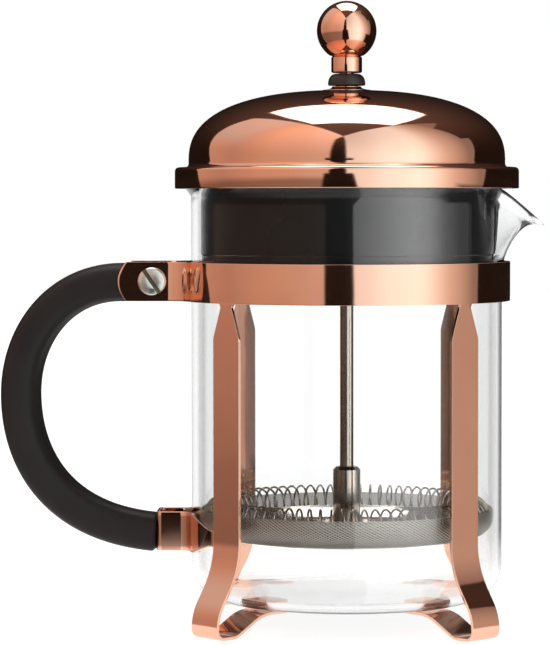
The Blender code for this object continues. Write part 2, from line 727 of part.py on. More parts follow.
def make_knob(parent):
    centre = KNOB_TOP - KNOB_RADIUS
    join = math.degrees(math.asin((COLLAR_HIGH - centre) / KNOB_RADIUS))
    outline = [(0, ROD_HIGH + GAP), (BORE_RADIUS, ROD_HIGH + GAP), (BORE_RADIUS, COLLAR_LOW)]
    outline += [(COLLAR_RADIUS - 0.5 * MM, COLLAR_LOW), (COLLAR_RADIUS, COLLAR_LOW + 0.5 * MM)]
    outline += [(COLLAR_RADIUS, COLLAR_HIGH - 0.2 * MM)]
    outline += arc((0, centre), KNOB_RADIUS, join, 90, 10)
    outline[-1] = (0, KNOB_TOP)
    turned("knob", parent, copper("knob_plating"), outline, 30)


def make_rod(parent):
    chamfer = 0.4 * MM
    rod = [(0, ROD_LOW), (ROD_RADIUS - chamfer, ROD_LOW), (ROD_RADIUS, ROD_LOW + chamfer)]
    rod += [(ROD_RADIUS, ROD_HIGH - chamfer), (ROD_RADIUS - chamfer, ROD_HIGH), (0, ROD_HIGH)]
    turned("plunger_rod", parent, steel("rod_steel"), rod, SMALL_STEPS)

    low = SPIRAL_PLATE_Z + PLATE_THICKNESS + GAP
    chamfer = 0.9 * MM
    sleeve = [(BORE_RADIUS, low), (SLEEVE_RADIUS, low), (SLEEVE_RADIUS, SLEEVE_HIGH - chamfer)]
    sleeve += [(SLEEVE_RADIUS - chamfer, SLEEVE_HIGH), (BORE_RADIUS, SLEEVE_HIGH)]
    turned("rod_sleeve", parent, steel("sleeve_steel"), sleeve, SMALL_STEPS)


def make_spiral_plate(parent):
    """A shallow dish, with its edge inside the ring of the coil."""
    low = SPIRAL_PLATE_Z
    high = low + PLATE_THICKNESS
    rise = SPIRAL_PLATE_RISE
    outline = [(BORE_RADIUS, low), (SPIRAL_PLATE_FLAT_RADIUS, low), (SPIRAL_PLATE_RADIUS, low + rise)]
    outline += [(SPIRAL_PLATE_RADIUS, high + rise), (SPIRAL_PLATE_FLAT_RADIUS, high), (BORE_RADIUS, high)]
    plate = turned("spiral_plate", parent, steel("spiral_plate_steel"), outline)
    holes = bmesh.new()
    off_facet = 0.3 * math.tau / ROUND_STEPS
    for ring_radius, count in PLATE_HOLE_RINGS:
        for number in range(count):
            x, y = polar(ring_radius, math.tau * number / count + off_facet)
            bmesh.ops.create_cone(
                holes, cap_ends=True, segments=10, radius1=PLATE_HOLE_RADIUS, radius2=PLATE_HOLE_RADIUS,
                depth=4 * MM, matrix=Matrix.Translation((x, y, low)),
            )
    cut(plate, place(holes, "plate_holes", parent, None))


def make_coil(parent):
    """A helix bent round into a ring: its tube closes on itself after the last turn."""
    points_per_turn = 6
    count = COIL_TURNS * points_per_turn
    sides = 3
    bm = bmesh.new()
    rings = []
    for i in range(count):
        turn = -math.tau * i / points_per_turn
        round_ring = math.tau * i / count
        outward = Vector((math.cos(round_ring), math.sin(round_ring), 0))
        along = Vector((-math.sin(round_ring), math.cos(round_ring), 0))
        spoke = outward * math.cos(turn) + Vector((0, 0, math.sin(turn)))
        centre = outward * COIL_RING_RADIUS + spoke * COIL_LOOP_RADIUS + Vector((0, 0, COIL_Z))
        ring = []
        for k in range(sides):
            angle = math.tau * k / sides
            offset = spoke * math.cos(angle) + along * math.sin(angle)
            ring.append(bm.verts.new(centre + offset * COIL_WIRE_RADIUS))
        rings.append(ring)
    for i, ring in enumerate(rings):
        following = rings[(i + 1) % count]
        for k in range(sides):
            n = (k + 1) % sides
            bm.faces.new((ring[k], ring[n], following[n], following[k]))
    bmesh.ops.recalc_face_normals(bm, faces=bm.faces)
    place(bm, "coil_spring", parent, steel("coil_steel"))


def mesh_outline(offset):
    """The filter cloth: a flat disc whose edge turns up round the coil in a bulge."""
    centre_r = MESH_RADIUS - MESH_BULGE_DEPTH
    points = [(BORE_RADIUS, MESH_LOW + offset), (centre_r, MESH_LOW + offset)]
    for step in range(1, 6):
        angle = math.radians(-90 + MESH_TURN_IN * step / 5)
        points.append((
            centre_r + (MESH_BULGE_DEPTH - offset) * math.cos(angle),
            MESH_BULGE_Z + (MESH_BULGE_Z - MESH_LOW - offset) * math.sin(angle),
        ))
    return points


def make_filter(parent):
    outline = mesh_outline(0) + list(reversed(mesh_outline(MESH_SHEET)))
    turned("filter_mesh", parent, steel("mesh_steel", 0.4), outline)


def make_cross_plate(parent):
    low = CROSS_PLATE_Z
    high = low + PLATE_THICKNESS
    outline = [(BORE_RADIUS, low), (CROSS_PLATE_RADIUS, low), (CROSS_PLATE_RADIUS, high), (BORE_RADIUS, high)]
    plate = turned("cross_plate", parent, steel("cross_plate_steel"), outline)
    half_in = math.pi / 4 - math.asin(CROSS_ARM_WIDTH / 2 / CROSS_HUB_RADIUS)
    half_out = math.pi / 4 - math.asin(CROSS_ARM_WIDTH / 2 / CROSS_RING_RADIUS)
    windows = bmesh.new()
    for number in range(4):
        middle = math.pi / 4 + number * math.pi / 2
        ring = [polar(CROSS_HUB_RADIUS, middle - half_in), polar(CROSS_HUB_RADIUS, middle + half_in)]
        for step in range(9):
            ring.append(polar(CROSS_RING_RADIUS, middle + half_out * (1 - step / 4)))
        face = windows.faces.new([windows.verts.new((x, y, low - 2 * MM)) for x, y in ring])
        lifted = bmesh.ops.extrude_face_region(windows, geom=[face])
        top = [item for item in lifted["geom"] if isinstance(item, bmesh.types.BMVert)]
        bmesh.ops.translate(windows, vec=(0, 0, 4 * MM), verts=top)
    bmesh.ops.recalc_face_normals(windows, faces=windows.faces)
    cut(plate, place(windows, "plate_windows", parent, None))

    eyelet_low = MESH_LOW + MESH_SHEET + GAP
    eyelet_high = SPIRAL_PLATE_Z - GAP
    ring = [(BORE_RADIUS, eyelet_low), (EYELET_RADIUS, eyelet_low)]
    ring += [(EYELET_RADIUS, eyelet_high), (BORE_RADIUS, eyelet_high)]
    turned("mesh_eyelet", parent, steel("eyelet_steel"), ring, SMALL_STEPS)

    nut_high = low - GAP
    chamfer = 0.6 * MM
    nut = [(BORE_RADIUS, FILTER_NUT_LOW), (FILTER_NUT_RADIUS - chamfer, FILTER_NUT_LOW)]
    nut += [(FILTER_NUT_RADIUS, FILTER_NUT_LOW + chamfer), (FILTER_NUT_RADIUS, nut_high)]
    nut.append((BORE_RADIUS, nut_high))
    turned("filter_nut", parent, steel("filter_nut_steel"), nut, SMALL_STEPS)


def main():
    for obj in list(bpy.data.objects):
        bpy.data.objects.remove(obj)
    stand = empty("stand", location=(AXIS_X, 0, 0))
    glass = empty("glass", stand)
    lid_carrier = empty("lid_carrier", glass)
    lid = empty("lid", lid_carrier)
    plunger = empty("plunger", lid_carrier)

    make_frame(stand)
    make_clamp(stand)
    make_bracket(stand)
    make_handle(stand)
    make_beaker(glass)
    make_lid(lid_carrier, lid)
    make_knob(plunger)
    make_rod(plunger)
    make_spiral_plate(plunger)
    make_coil(plunger)
    make_filter(plunger)
    make_cross_plate(plunger)


main()
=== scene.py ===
"""French press: the finished look of every piece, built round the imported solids.

All shapes are written in millimetres from the beaker's axis, and moved to the shared frame in metres.
"""

import math

import bmesh
import bpy
from mathutils import Matrix, Vector

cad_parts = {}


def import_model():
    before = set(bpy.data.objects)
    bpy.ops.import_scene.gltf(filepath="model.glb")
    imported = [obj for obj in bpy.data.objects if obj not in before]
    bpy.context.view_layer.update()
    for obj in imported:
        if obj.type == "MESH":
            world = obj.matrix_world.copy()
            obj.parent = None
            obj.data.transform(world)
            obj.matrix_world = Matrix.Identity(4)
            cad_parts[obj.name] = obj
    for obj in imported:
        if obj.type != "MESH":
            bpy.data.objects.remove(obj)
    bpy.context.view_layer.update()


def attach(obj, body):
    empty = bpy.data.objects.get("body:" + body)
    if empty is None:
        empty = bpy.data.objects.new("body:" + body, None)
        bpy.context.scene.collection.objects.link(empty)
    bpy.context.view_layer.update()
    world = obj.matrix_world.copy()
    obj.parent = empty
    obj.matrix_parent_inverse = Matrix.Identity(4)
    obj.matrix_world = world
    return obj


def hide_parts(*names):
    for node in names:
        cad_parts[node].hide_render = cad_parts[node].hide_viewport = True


radians = math.radians

MM = 0.001
BEAKER_X = 21.5 * MM
AXIS = Matrix.Translation((BEAKER_X, 0, 0)) @ Matrix.Scale(MM, 4)
GAP = 0.3  # clearance between neighbouring pieces
SHARP_ANGLE = 34  # degrees: an edge that turns more than this stays sharp
FINE_STEPS = 220  # steps round the largest turned pieces
ROUNDING_STEPS = 3

# Beaker
GLASS_RADIUS = 45.4
GLASS_WALL = 2.0
GLASS_BOTTOM = 6.8
GLASS_CORNER = 10.5
GLASS_TOP = 128.0
LIP_START = 124.2
LIP_FLARE = 1.8
SPOUT_LOW = 104.0
SPOUT_OUT = 10.8
SPOUT_DROP = 12.0
SPOUT_HALF_ANGLE = radians(27)
SPOUT_OUT_POWER = 1.25
SPOUT_DROP_POWER = 2.4

# Frame
BAND_RADIUS = 47.66
BAND_LOW = 94.2
BAND_HIGH = 105.6
SHEET = 0.85
FRAME_EDGE = 0.22
BAND_ROWS = 24
BAND_STEP = radians(1.9)
EAR_FACE_Y = 10.25
EAR_ROOT_X = -47.15
EAR_CORNER_X = -63.8
EAR_TIP_X = -66.2
EAR_FILLET = 7.5
EAR_FINE_RUN = 1.2  # the stretch beside the bend, in finer steps
BEAD_BACK = 8  # the bead's point, counted back from the bend's end
BEAD_HALF = (0.95, 3.3)
BEAD_HEIGHT = 0.35
BEAD_SLOPE = 0.55
LEG_AZIMUTHS = (225, 315, 45, 135)
LEG_WIDTH = 10.7
LEG_SPREAD = (-1, -0.5, 0, 0.5, 1)  # the points across a leg, in half widths
NECK_ROOT_WIDTH = 5.8
NECK_ROWS = [(94.0, 2.68), (93.75, 2.48), (93.45, 2.36), (93.1, 2.3)]  # (height, half width)
SHOULDER_ROWS = [(90.2, 3.32), (87.3, 4.33), (85.0, 5.12), (84.6, 5.25), (84.2, 5.33)]
SHOULDER_END = 83.7
FLARE_ANGLE = radians(33)
FLARE_RADIUS = 24.0
FLARE_RUN = 4.1
SHIN_RADIUS = 13.8
ROLL_RADIUS = 2.8
SOLE_LENGTH = 3.1
RISE_ANGLE = radians(29)
RISE_RADIUS = 7.0
RISE_RUN = 6.25
TONGUE_RADIUS = 13.9
TONGUE_END = 27.0
TONGUE_NOSE = 3.0

# Clamp
CLAMP_X = -56.3
CLAMP_Z = 100.0
HEAD_RADIUS = 4.0
HEAD_HEIGHT = 1.7
HEAD_EDGE = 0.25
SHANK_RADIUS = 2.0
SHANK_PAST_NUT = 0.8
SLOT_TURN = radians(56)
SLOT_WIDTH = 1.2
SLOT_DEPTH = 1.1
SLOT_EDGE = 0.07
NUT_FLATS = 7.0
NUT_HEIGHT = 3.0
NUT_CHAMFER = (0.55, 0.35)

# Bracket
BRACKET_SHEET = 0.8
BRACKET_EDGE = 0.2
BRACKET_MID_Z = 27.0
BRACKET_HALF_HEIGHT = 5.7
BRACKET_NOSE_X = -55.5
BRACKET_CHEEK_Y = 6.6
BRACKET_CORNER = 1.6
BRACKET_FILLET = 3.0
BRACKET_RADIUS = 46.5
WING_TIP_HALF_HEIGHT = 2.4
WING_TAPER = (radians(17), radians(33))
WING_END = radians(50)

# Handle
HANDLE_REACH = 101.2
HANDLE_THICKNESS = 11.2
HANDLE_DEPTHS = (18.2, 20.0, 14.4)  # at the top, the grip and the foot
HANDLE_TOP_Z = 99.5
HANDLE_MID_Z = 66.7
HANDLE_BEND_X = -66.0
HANDLE_START_X = -49.8
HANDLE_END_X = -55.8
HANDLE_SIDES = 48
HANDLE_POWER = 3.2
TOP_PULL = 17.4  # how far off the control points of the handle's two curves lie
SIDE_PULL_UP = 18.3
SIDE_PULL_DOWN = 19.2
FOOT_PULL = (31.5, 1.7)
TOP_ROUNDING = ((0.0, 0.9), (0.12, 0.42), (0.45, 0.1), (0.9, 0.0))  # (from the end, drawn in)
FOOT_ROUNDING = ((0.9, 0.0), (0.4, 0.12), (0.1, 0.42), (0.0, 0.9))

# Lid
DOME_RADIUS = 46.15
DOME_BASE = 134.6
DOME_TOP = 155.4
DOME_POWER = 2.48
DOME_HOLE = 3.5
DOME_STEPS = 52
DOME_SHEET = 0.6
RIM_RADIUS = 50.15
RIM_LOW = 126.8
RIM_HIGH = 133.0
RIM_ROUNDING = 1.2
RIM_FOOT = 0.3
# Down the fillet at the dome's foot: (radius, height, how much of the sheet the inner face drops by)
DOME_FOOT = (
    (46.13, 134.1, 0), (46.2, 133.7, 0), (46.4, 133.35, 0.4), (46.75, 133.1, 0.8), (47.3, RIM_HIGH, 1),
)
SKIRT_RADIUS = 42.6
SKIRT_WALL = 1.6
SKIRT_LOW = 99.0
SKIRT_STEP = (0.35, 107.5)  # how far its lower part is set back, and up to where
FLANGE_RADIUS = 48.5
FLANGE_HEIGHT = 1.5
BOSS_DROP = 4
STEM_RADIUS = 5.0
STEM_TOP = 154.5
NECK_RADIUS = 3.2
NECK_TOP = 158.6
POUR_SLOTS = 5
POUR_SLOT_ANGLE = 6
POUR_SLOT_SIZE = (6, 2.4, 16)
POUR_SLOT_Z = 114
BORE = 2.3

# (radius, height) outlines of the turned pieces
FERRULE = [
    (3.5, 155.44), (5.5, 155.42), (7.1, 155.36), (7.02, 155.5), (6.0, 155.62), (5.0, 155.85),
    (4.45, 156.1), (4.3, 156.3), (4.3, 156.5), (3.5, 156.5),
]
BUSH_TOP = 160.2
BUSH_SHOULDER = (3.3, 157.4)
BUSH_ROUNDING = (2.15, 2.8)
BUSH_FOOT = [(5.45, 157.0), (5.3, 156.8), (3.5, 156.8), (3.5, 158.9), (BORE, 158.9)]
KNOB_COLLAR = [
    (0, 170.0), (BORE, 170.0), (BORE, 160.5), (4.2, 160.5), (4.5, 160.8), (4.5, 164.8), (4.38, 165.05),
    (4.1, 165.3),
]
KNOB_JOIN_Z = 165.2
ROD = [(0, 21.4), (1.6, 21.4), (2.0, 21.8), (2.0, 169.3), (1.6, 169.7), (0, 169.7)]
SLEEVE = [(BORE, 27.85), (4.05, 27.85), (4.05, 44.7), (3.15, 45.6), (BORE, 45.6)]
FILTER_NUT = [(BORE, 21.8), (4.4, 21.8), (5.0, 22.4), (5.0, 24.5), (BORE, 24.5)]
EYELET = [(BORE, 26.25), (7.0, 26.25), (7.0, 26.75), (BORE, 26.75)]
CROSS_PLATE = [(BORE, 24.8), (32.0, 24.8), (32.0, 25.3), (BORE, 25.3)]

# Plunger
KNOB_TOP = 181.4
KNOB_RADIUS = 8.7
COIL_RING_RADIUS = 37.4
COIL_LOOP_RADIUS = 4.0
COIL_Z = 32.5
COIL_WIRE_RADIUS = 0.32
COIL_TURNS = 76
COIL_TURN_POINTS = 26
COIL_WIRE_SIDES = 7
MESH_RADIUS = 43.0
MESH_LOW = 25.6
MESH_BULGE_Z = 31.9
MESH_BULGE_DEPTH = 6.6
MESH_TURN_UP = 108
MESH_SHEET = 0.35
PLATE_SHEET = 0.5
SPIRAL_PLATE_LOW = 27.05
SPIRAL_PLATE_RIM = [(26.4, 0.0), (27.2, 0.12), (28.2, 0.5), (31.6, 2.5), (32.4, 3.1), (32.8, 3.45)]
HOLE_RINGS = ((11, 6), (21, 12))  # (ring radius, holes in it)
HOLE_TURN = 0.037
HOLE_RADIUS = 2.4
WINDOW_LOW = 23.0
WINDOW_INNER = 9
WINDOW_OUTER = 27
ARM_HALF_WIDTH = 4
CUTTER_HEIGHT = 4

# Wire cloth
WIRE_PITCH = 0.42
TWILL_PITCH = 0.68
# Along the cloth, in mm: where the painted shade on its underside fades out
UNDERSIDE_SHADE_FROM = 36.5
UNDERSIDE_SHADE_TO = 40.5


# Node trees


class Graph:
    """A short way to write a node tree. Colours are written as (red, green, blue)."""

    def __init__(self, tree):
        self.tree = tree
        tree.nodes.clear()

    def add(self, kind, inputs=None, **settings):
        node = self.tree.nodes.new("ShaderNode" + kind)
        for name, value in settings.items():
            setattr(node, name, value)
        for key, value in (inputs or {}).items():
            socket = node.inputs[key]
            if isinstance(value, bpy.types.NodeSocket):
                self.tree.links.new(value, socket)
            else:
                socket.default_value = (*value, 1) if socket.type == "RGBA" else value
        return node

    def math(self, operation, *values):
        return self.add("Math", dict(enumerate(values)), operation=operation).outputs[0]

    def times(self, first, second):
        return self.math("MULTIPLY", first, second)

    def vectors(self, operation, first, second):
        return self.add("VectorMath", {0: first, 1: second}, operation=operation).outputs["Vector"]

    def scaled(self, vector, factor):
        return self.add("VectorMath", {0: vector, "Scale": factor}, operation="SCALE").outputs["Vector"]

    def noise(self, vector, scale, detail, roughness=0.5):
        inputs = {"Vector": vector, "Scale": scale, "Detail": detail, "Roughness": roughness}
        return self.add("TexNoise", inputs).outputs["Fac"]

    def stretched(self, vector, scale):
        return self.add("Mapping", {"Vector": vector, "Scale": scale}).outputs[0]

    def ranged(self, value, low, high, to_low=0.0, to_high=1.0, smooth=False):
        inputs = {"Value": value, "From Min": low, "From Max": high, "To Min": to_low, "To Max": to_high}
        kind = "SMOOTHSTEP" if smooth else "LINEAR"
        return self.add("MapRange", inputs, interpolation_type=kind).outputs[0]

    def blend(self, share, first, second):
        """Mixes two colours, which are sockets 6 and 7 of the Mix node."""
        return self.add("Mix", {0: share, 6: first, 7: second}, data_type="RGBA").outputs[2]

    def ramp(self, value, stops):
        node = self.add("ValToRGB", {0: value})
        while len(node.color_ramp.elements) < len(stops):
            node.color_ramp.elements.new(0.5)
        for element, (position, colour) in zip(node.color_ramp.elements, stops):
            element.position = position
            element.color = (*colour, 1)
        return node.outputs[0]

    def bump(self, height, distance, strength, normal=None):
        inputs = {"Height": height, "Distance": distance, "Strength": strength}
        if normal:
            inputs["Normal"] = normal
        return self.add("Bump", inputs).outputs[0]

    def place(self):
        return self.add("TexCoord").outputs["Object"]

    def finish(self, shader, kind="Material"):
        self.add("Output" + kind, {"Surface": shader})

    def principled(self, inputs):
        self.finish(self.add("BsdfPrincipled", inputs).outputs[0])


def new_material(name):
    made = bpy.data.materials.new(name)
    made.use_nodes = True
    return made, Graph(made.node_tree)


def polished(name, colour, deep, roughness, wave, grain=(1, 1, 1)):
    """Plated or polished metal: a slow wave of the sheet, a faint grain and slightly uneven polish."""
    made, g = new_material(name)
    place = g.place()
    slow = g.noise(place, 75, 1.0)
    cloud = g.noise(place, 30, 3.0)
    lines = g.noise(g.stretched(place, grain), 2600, 2.0)
    base = g.blend(g.ranged(cloud, 0.3, 0.7), deep, colour)
    shine = g.math("ADD", g.ranged(cloud, 0.3, 0.7, roughness * 0.75, roughness * 1.2),
                   g.ranged(lines, 0.35, 0.75, 0.0, roughness * 0.5))
    normal = g.bump(slow, wave * MM, 1.0)
    normal = g.bump(lines, 0.002 * MM, 0.5, normal)
    g.principled({
        "Base Color": base, "Metallic": 1.0, "Roughness": shine, "Normal": normal,
    })
    return made


def turned_metal(name, colour, deep, roughness, pitch=0.12):
    """Metal faced on a lathe: fine rings that follow the outline."""
    made, g = new_material(name)
    uv = g.add("TexCoord").outputs["UV"]
    place = g.place()
    rings = g.noise(g.stretched(uv, (0.02, 1.0 / pitch, 1)), 1.0, 3.0, 0.6)
    cloud = g.noise(place, 300, 2.0)
    base = g.blend(g.ranged(rings, 0.35, 0.65), deep, colour)
    shine = g.ranged(cloud, 0.3, 0.7, roughness * 0.7, roughness * 1.4)
    g.principled({
        "Base Color": base, "Metallic": 1.0, "Roughness": shine, "Normal": g.bump(rings, 0.01 * MM, 0.8),
    })
    return made


def moulded(name, colour, pale, roughness, grain_size, grain_depth, specular=0.5):
    """Moulded plastic: a fine even grain, and slightly paler where it has been rubbed."""
    made, g = new_material(name)
    place = g.place()
    grain = g.noise(place, 1 / (grain_size * MM), 2.0)
    cloud = g.noise(place, 45, 4.0)
    base = g.blend(g.ranged(cloud, 0.35, 0.75), colour, pale)
    shine = g.ranged(cloud, 0.3, 0.7, roughness * 0.88, roughness * 1.12)
    g.principled({
        "Base Color": base, "Roughness": shine, "Specular IOR Level": specular,
        "Normal": g.bump(grain, grain_depth * MM, 0.6),
    })
    return made


def clear_glass():
    """Borosilicate glass, with the faint ripple of a blown and moulded wall."""
    made, g = new_material("beaker_glass")
    place = g.place()
    ripple = g.noise(g.stretched(place, (1, 1, 0.4)), 55, 1.0)
    cloud = g.noise(place, 90, 2.0)
    g.principled({
        "Base Color": g.blend(cloud, (0.985, 0.992, 0.99), (0.995, 1.0, 0.998)),
        "Roughness": 0.0, "IOR": 1.47, "Transmission Weight": 1.0,
        "Normal": g.bump(ripple, 0.03 * MM, 0.5),
    })
    return made


def wire_cloth():
    """Twilled wire cloth: two families of round wires with light between them, and the twill's slant. Where
    the weave lies low it is painted darker, as painted shade between the wires.
    The flat disc's underside and the lower turn of its edge are painted darker, as painted shade, and are
    more solid."""
    made, g = new_material("wire_cloth")
    uv = g.add("SeparateXYZ", {0: g.add("TexCoord").outputs["UV"]})
    u, v = uv.outputs[0], uv.outputs[1]
    place = g.place()
    drift = g.ranged(g.noise(place, 60, 1.0), 0.3, 0.7, -0.8, 0.8)

    def lines(along, across, pitch):
        sweep = g.math("ADD", g.times(u, along), g.times(v, across))
        sweep = g.math("ADD", sweep, g.times(drift, pitch * 0.3))
        return g.math("SINE", g.times(sweep, math.tau / pitch))

    weave = g.math("MAXIMUM", lines(1.0, 0.0, WIRE_PITCH), lines(0.0, 1.0, WIRE_PITCH))
    twill = lines(0.5, 0.86, TWILL_PITCH)
    height = g.math("ADD", g.times(weave, 0.55), g.times(twill, 1.25))
    # dark where the weave lies low: painted shade between the wires
    share = g.ranged(height, -1.25, 1.75)
    base = g.blend(share, (0.24, 0.22, 0.19), (0.80, 0.76, 0.69))
    # the underside and the lower turn of the edge: painted shade, and more solid
    underside_shade = g.ranged(v, UNDERSIDE_SHADE_FROM, UNDERSIDE_SHADE_TO, 1.0, 0.0)
    base = g.blend(g.times(underside_shade, 0.6), base, (0.10, 0.085, 0.07))
    solid = g.math("MAXIMUM", g.ranged(share, 0.0, 0.8, 0.12, 0.8), g.times(underside_shade, 0.9))
    g.principled({
        "Base Color": base, "Metallic": 1.0, "Roughness": g.ranged(share, 0, 1, 0.55, 0.36),
        "Normal": g.bump(height, 0.04 * MM, 1.0), "Alpha": solid,
    })
    return made


def pale_floor():
    """A white table. Beyond its lit middle it mirrors nothing, so metal shows the panels past it."""
    made, g = new_material("pale_floor")
    place = g.place()
    far = g.ranged(g.add("VectorMath", {0: place}, operation="LENGTH").outputs["Value"], 0.10, 0.26)
    path = g.add("LightPath")
    speckle = g.noise(place, 400, 2.0)
    tint = g.blend(speckle, (0.26, 0.26, 0.26), (0.30, 0.30, 0.298))
    glow = g.add("Emission", {"Color": (1, 1, 1), "Strength": FLOOR_GLOW})
    matt = g.add("BsdfDiffuse", {"Color": tint})
    lit = g.add("AddShader", {0: glow.outputs[0], 1: matt.outputs[0]})
    unseen = g.times(path.outputs["Is Glossy Ray"], far)
    shader = g.add("MixShader", {0: unseen, 1: lit.outputs[0], 2: g.add("BsdfTransparent").outputs[0]})
    g.finish(shader.outputs[0])
    return made


# Studio

# Corners of the light panels, and of the gaps and the notch cut out of them, as (azimuth, elevation) in
# degrees, anticlockwise as seen from the object
LEFT_PANEL = ((-2.5, -60), (-77.5, -60), (-139.5, 48), (-2.5, 45.6))
RIGHT_PANEL = ((120.5, 51.3), (83.2, -60), (-2.5, -60), (-2.5, 45.6))
WIDE_GAP = ((22, -60), (-24, -60), (-14.5, 1.5), (5, 1.5))
NARROW_GAP = ((0.5, -5), (-12, -5), (-8.5, 38), (-2.5, 45.6), (-0.5, 39))
NOTCH = ((116, 24), (101, 27), (97, 50), (120, 52))
PANEL_SOFTNESS = 0.012
GAP_SOFTNESS = 0.02
# Corners of the light overhead, as (x, y) where a ray meets the plane one unit up
TOP_LIGHT = (
    (-0.27, -0.11), (-0.36, 0.27), (-0.40, 0.78), (-0.2, 0.89), (0.0, 0.9), (0.2, 0.84), (0.42, 0.68),
    (0.44, 0.25), (0.39, -0.11),
)
TOP_GAIN = 3.4
# Colours, or levels of grey, by azimuth in degrees
LEFT_TINT = (
    (-150, (0.56, 0.38, 0.28)), (-124, (0.60, 0.41, 0.31)), (-90, (0.50, 0.335, 0.275)),
    (-60, (0.64, 0.44, 0.34)), (-35, (0.66, 0.49, 0.40)), (-16, (0.70, 0.56, 0.50)),
)
HIGH_TINT = (0.47, 0.43, 0.42)
RIGHT_TINT = (
    (5, (0.56, 0.62, 0.65)), (15, (0.60, 0.68, 0.72)), (27, (0.68, 0.83, 0.88)), (49, (0.76, 0.94, 1.0)),
    (58, (0.72, 0.86, 0.90)), (67, (0.60, 0.64, 0.64)), (77, (0.46, 0.42, 0.39)), (88, (0.34, 0.29, 0.26)),
    (100, (0.17, 0.15, 0.14)), (128, (0.12, 0.11, 0.10)),
)
SHARP_TINT = ((5, 0.42), (18, 0.55), (35, 0.8), (52, 1.0), (64, 0.86), (78, 0.36), (94, 0.12))
WALL = (
    (-180, 0.80), (-175, 0.55), (-169, 0.8), (-163, 1.0), (-148, 1.0), (-135, 0.05), (135, 0.05),
    (146, 0.85), (155, 0.8), (160, 0.12), (166, 0.12), (170, 0.75), (180, 0.95),
)
SURROUND_TINT = (1.0, 0.66, 0.54)
SURROUND_LOW = 0.014
SURROUND_RISE = 0.14
FILL = (0.22, 0.22, 0.22)
SEEN_WHITE = (1, 1, 1)
THROUGH_WHITE = (1.13, 1.13, 1.13)
FLOOR_GLOW = 0.88

# The camera, from the photograph: its size, the beaker's axis, the level line and the focal length in pixels
PHOTO_WIDTH = 550
PHOTO_HEIGHT = 645
AXIS_COLUMN = 346.7
LEVEL_ROW = 200
FOCAL_PIXELS = 3000
SENSOR = 36
CAMERA_DISTANCE = 0.877
CAMERA_HEIGHT = 0.1235
CAMERA_TURN = radians(0.6)
CAMERA_ROLL = radians(-0.05)


def direction(azimuth, elevation):
    """A unit vector. Azimuth is counted from the front, -Y, towards +X."""
    a, e = radians(azimuth), radians(elevation)
    return Vector((math.sin(a) * math.cos(e), -math.cos(a) * math.cos(e), math.sin(e)))


def patch(g, towards, corners, softness):
    """1 inside the convex patch of sky between the corners' directions, and 0 outside it."""
    inside = None
    for start, end in zip(corners, corners[1:] + corners[:1]):
        edge = g.add("VectorMath", {0: towards, 1: end.cross(start).normalized()}, operation="DOT_PRODUCT")
        step = g.ranged(edge.outputs["Value"], -softness, softness, smooth=True)
        inside = g.times(inside, step) if inside else step
    return inside


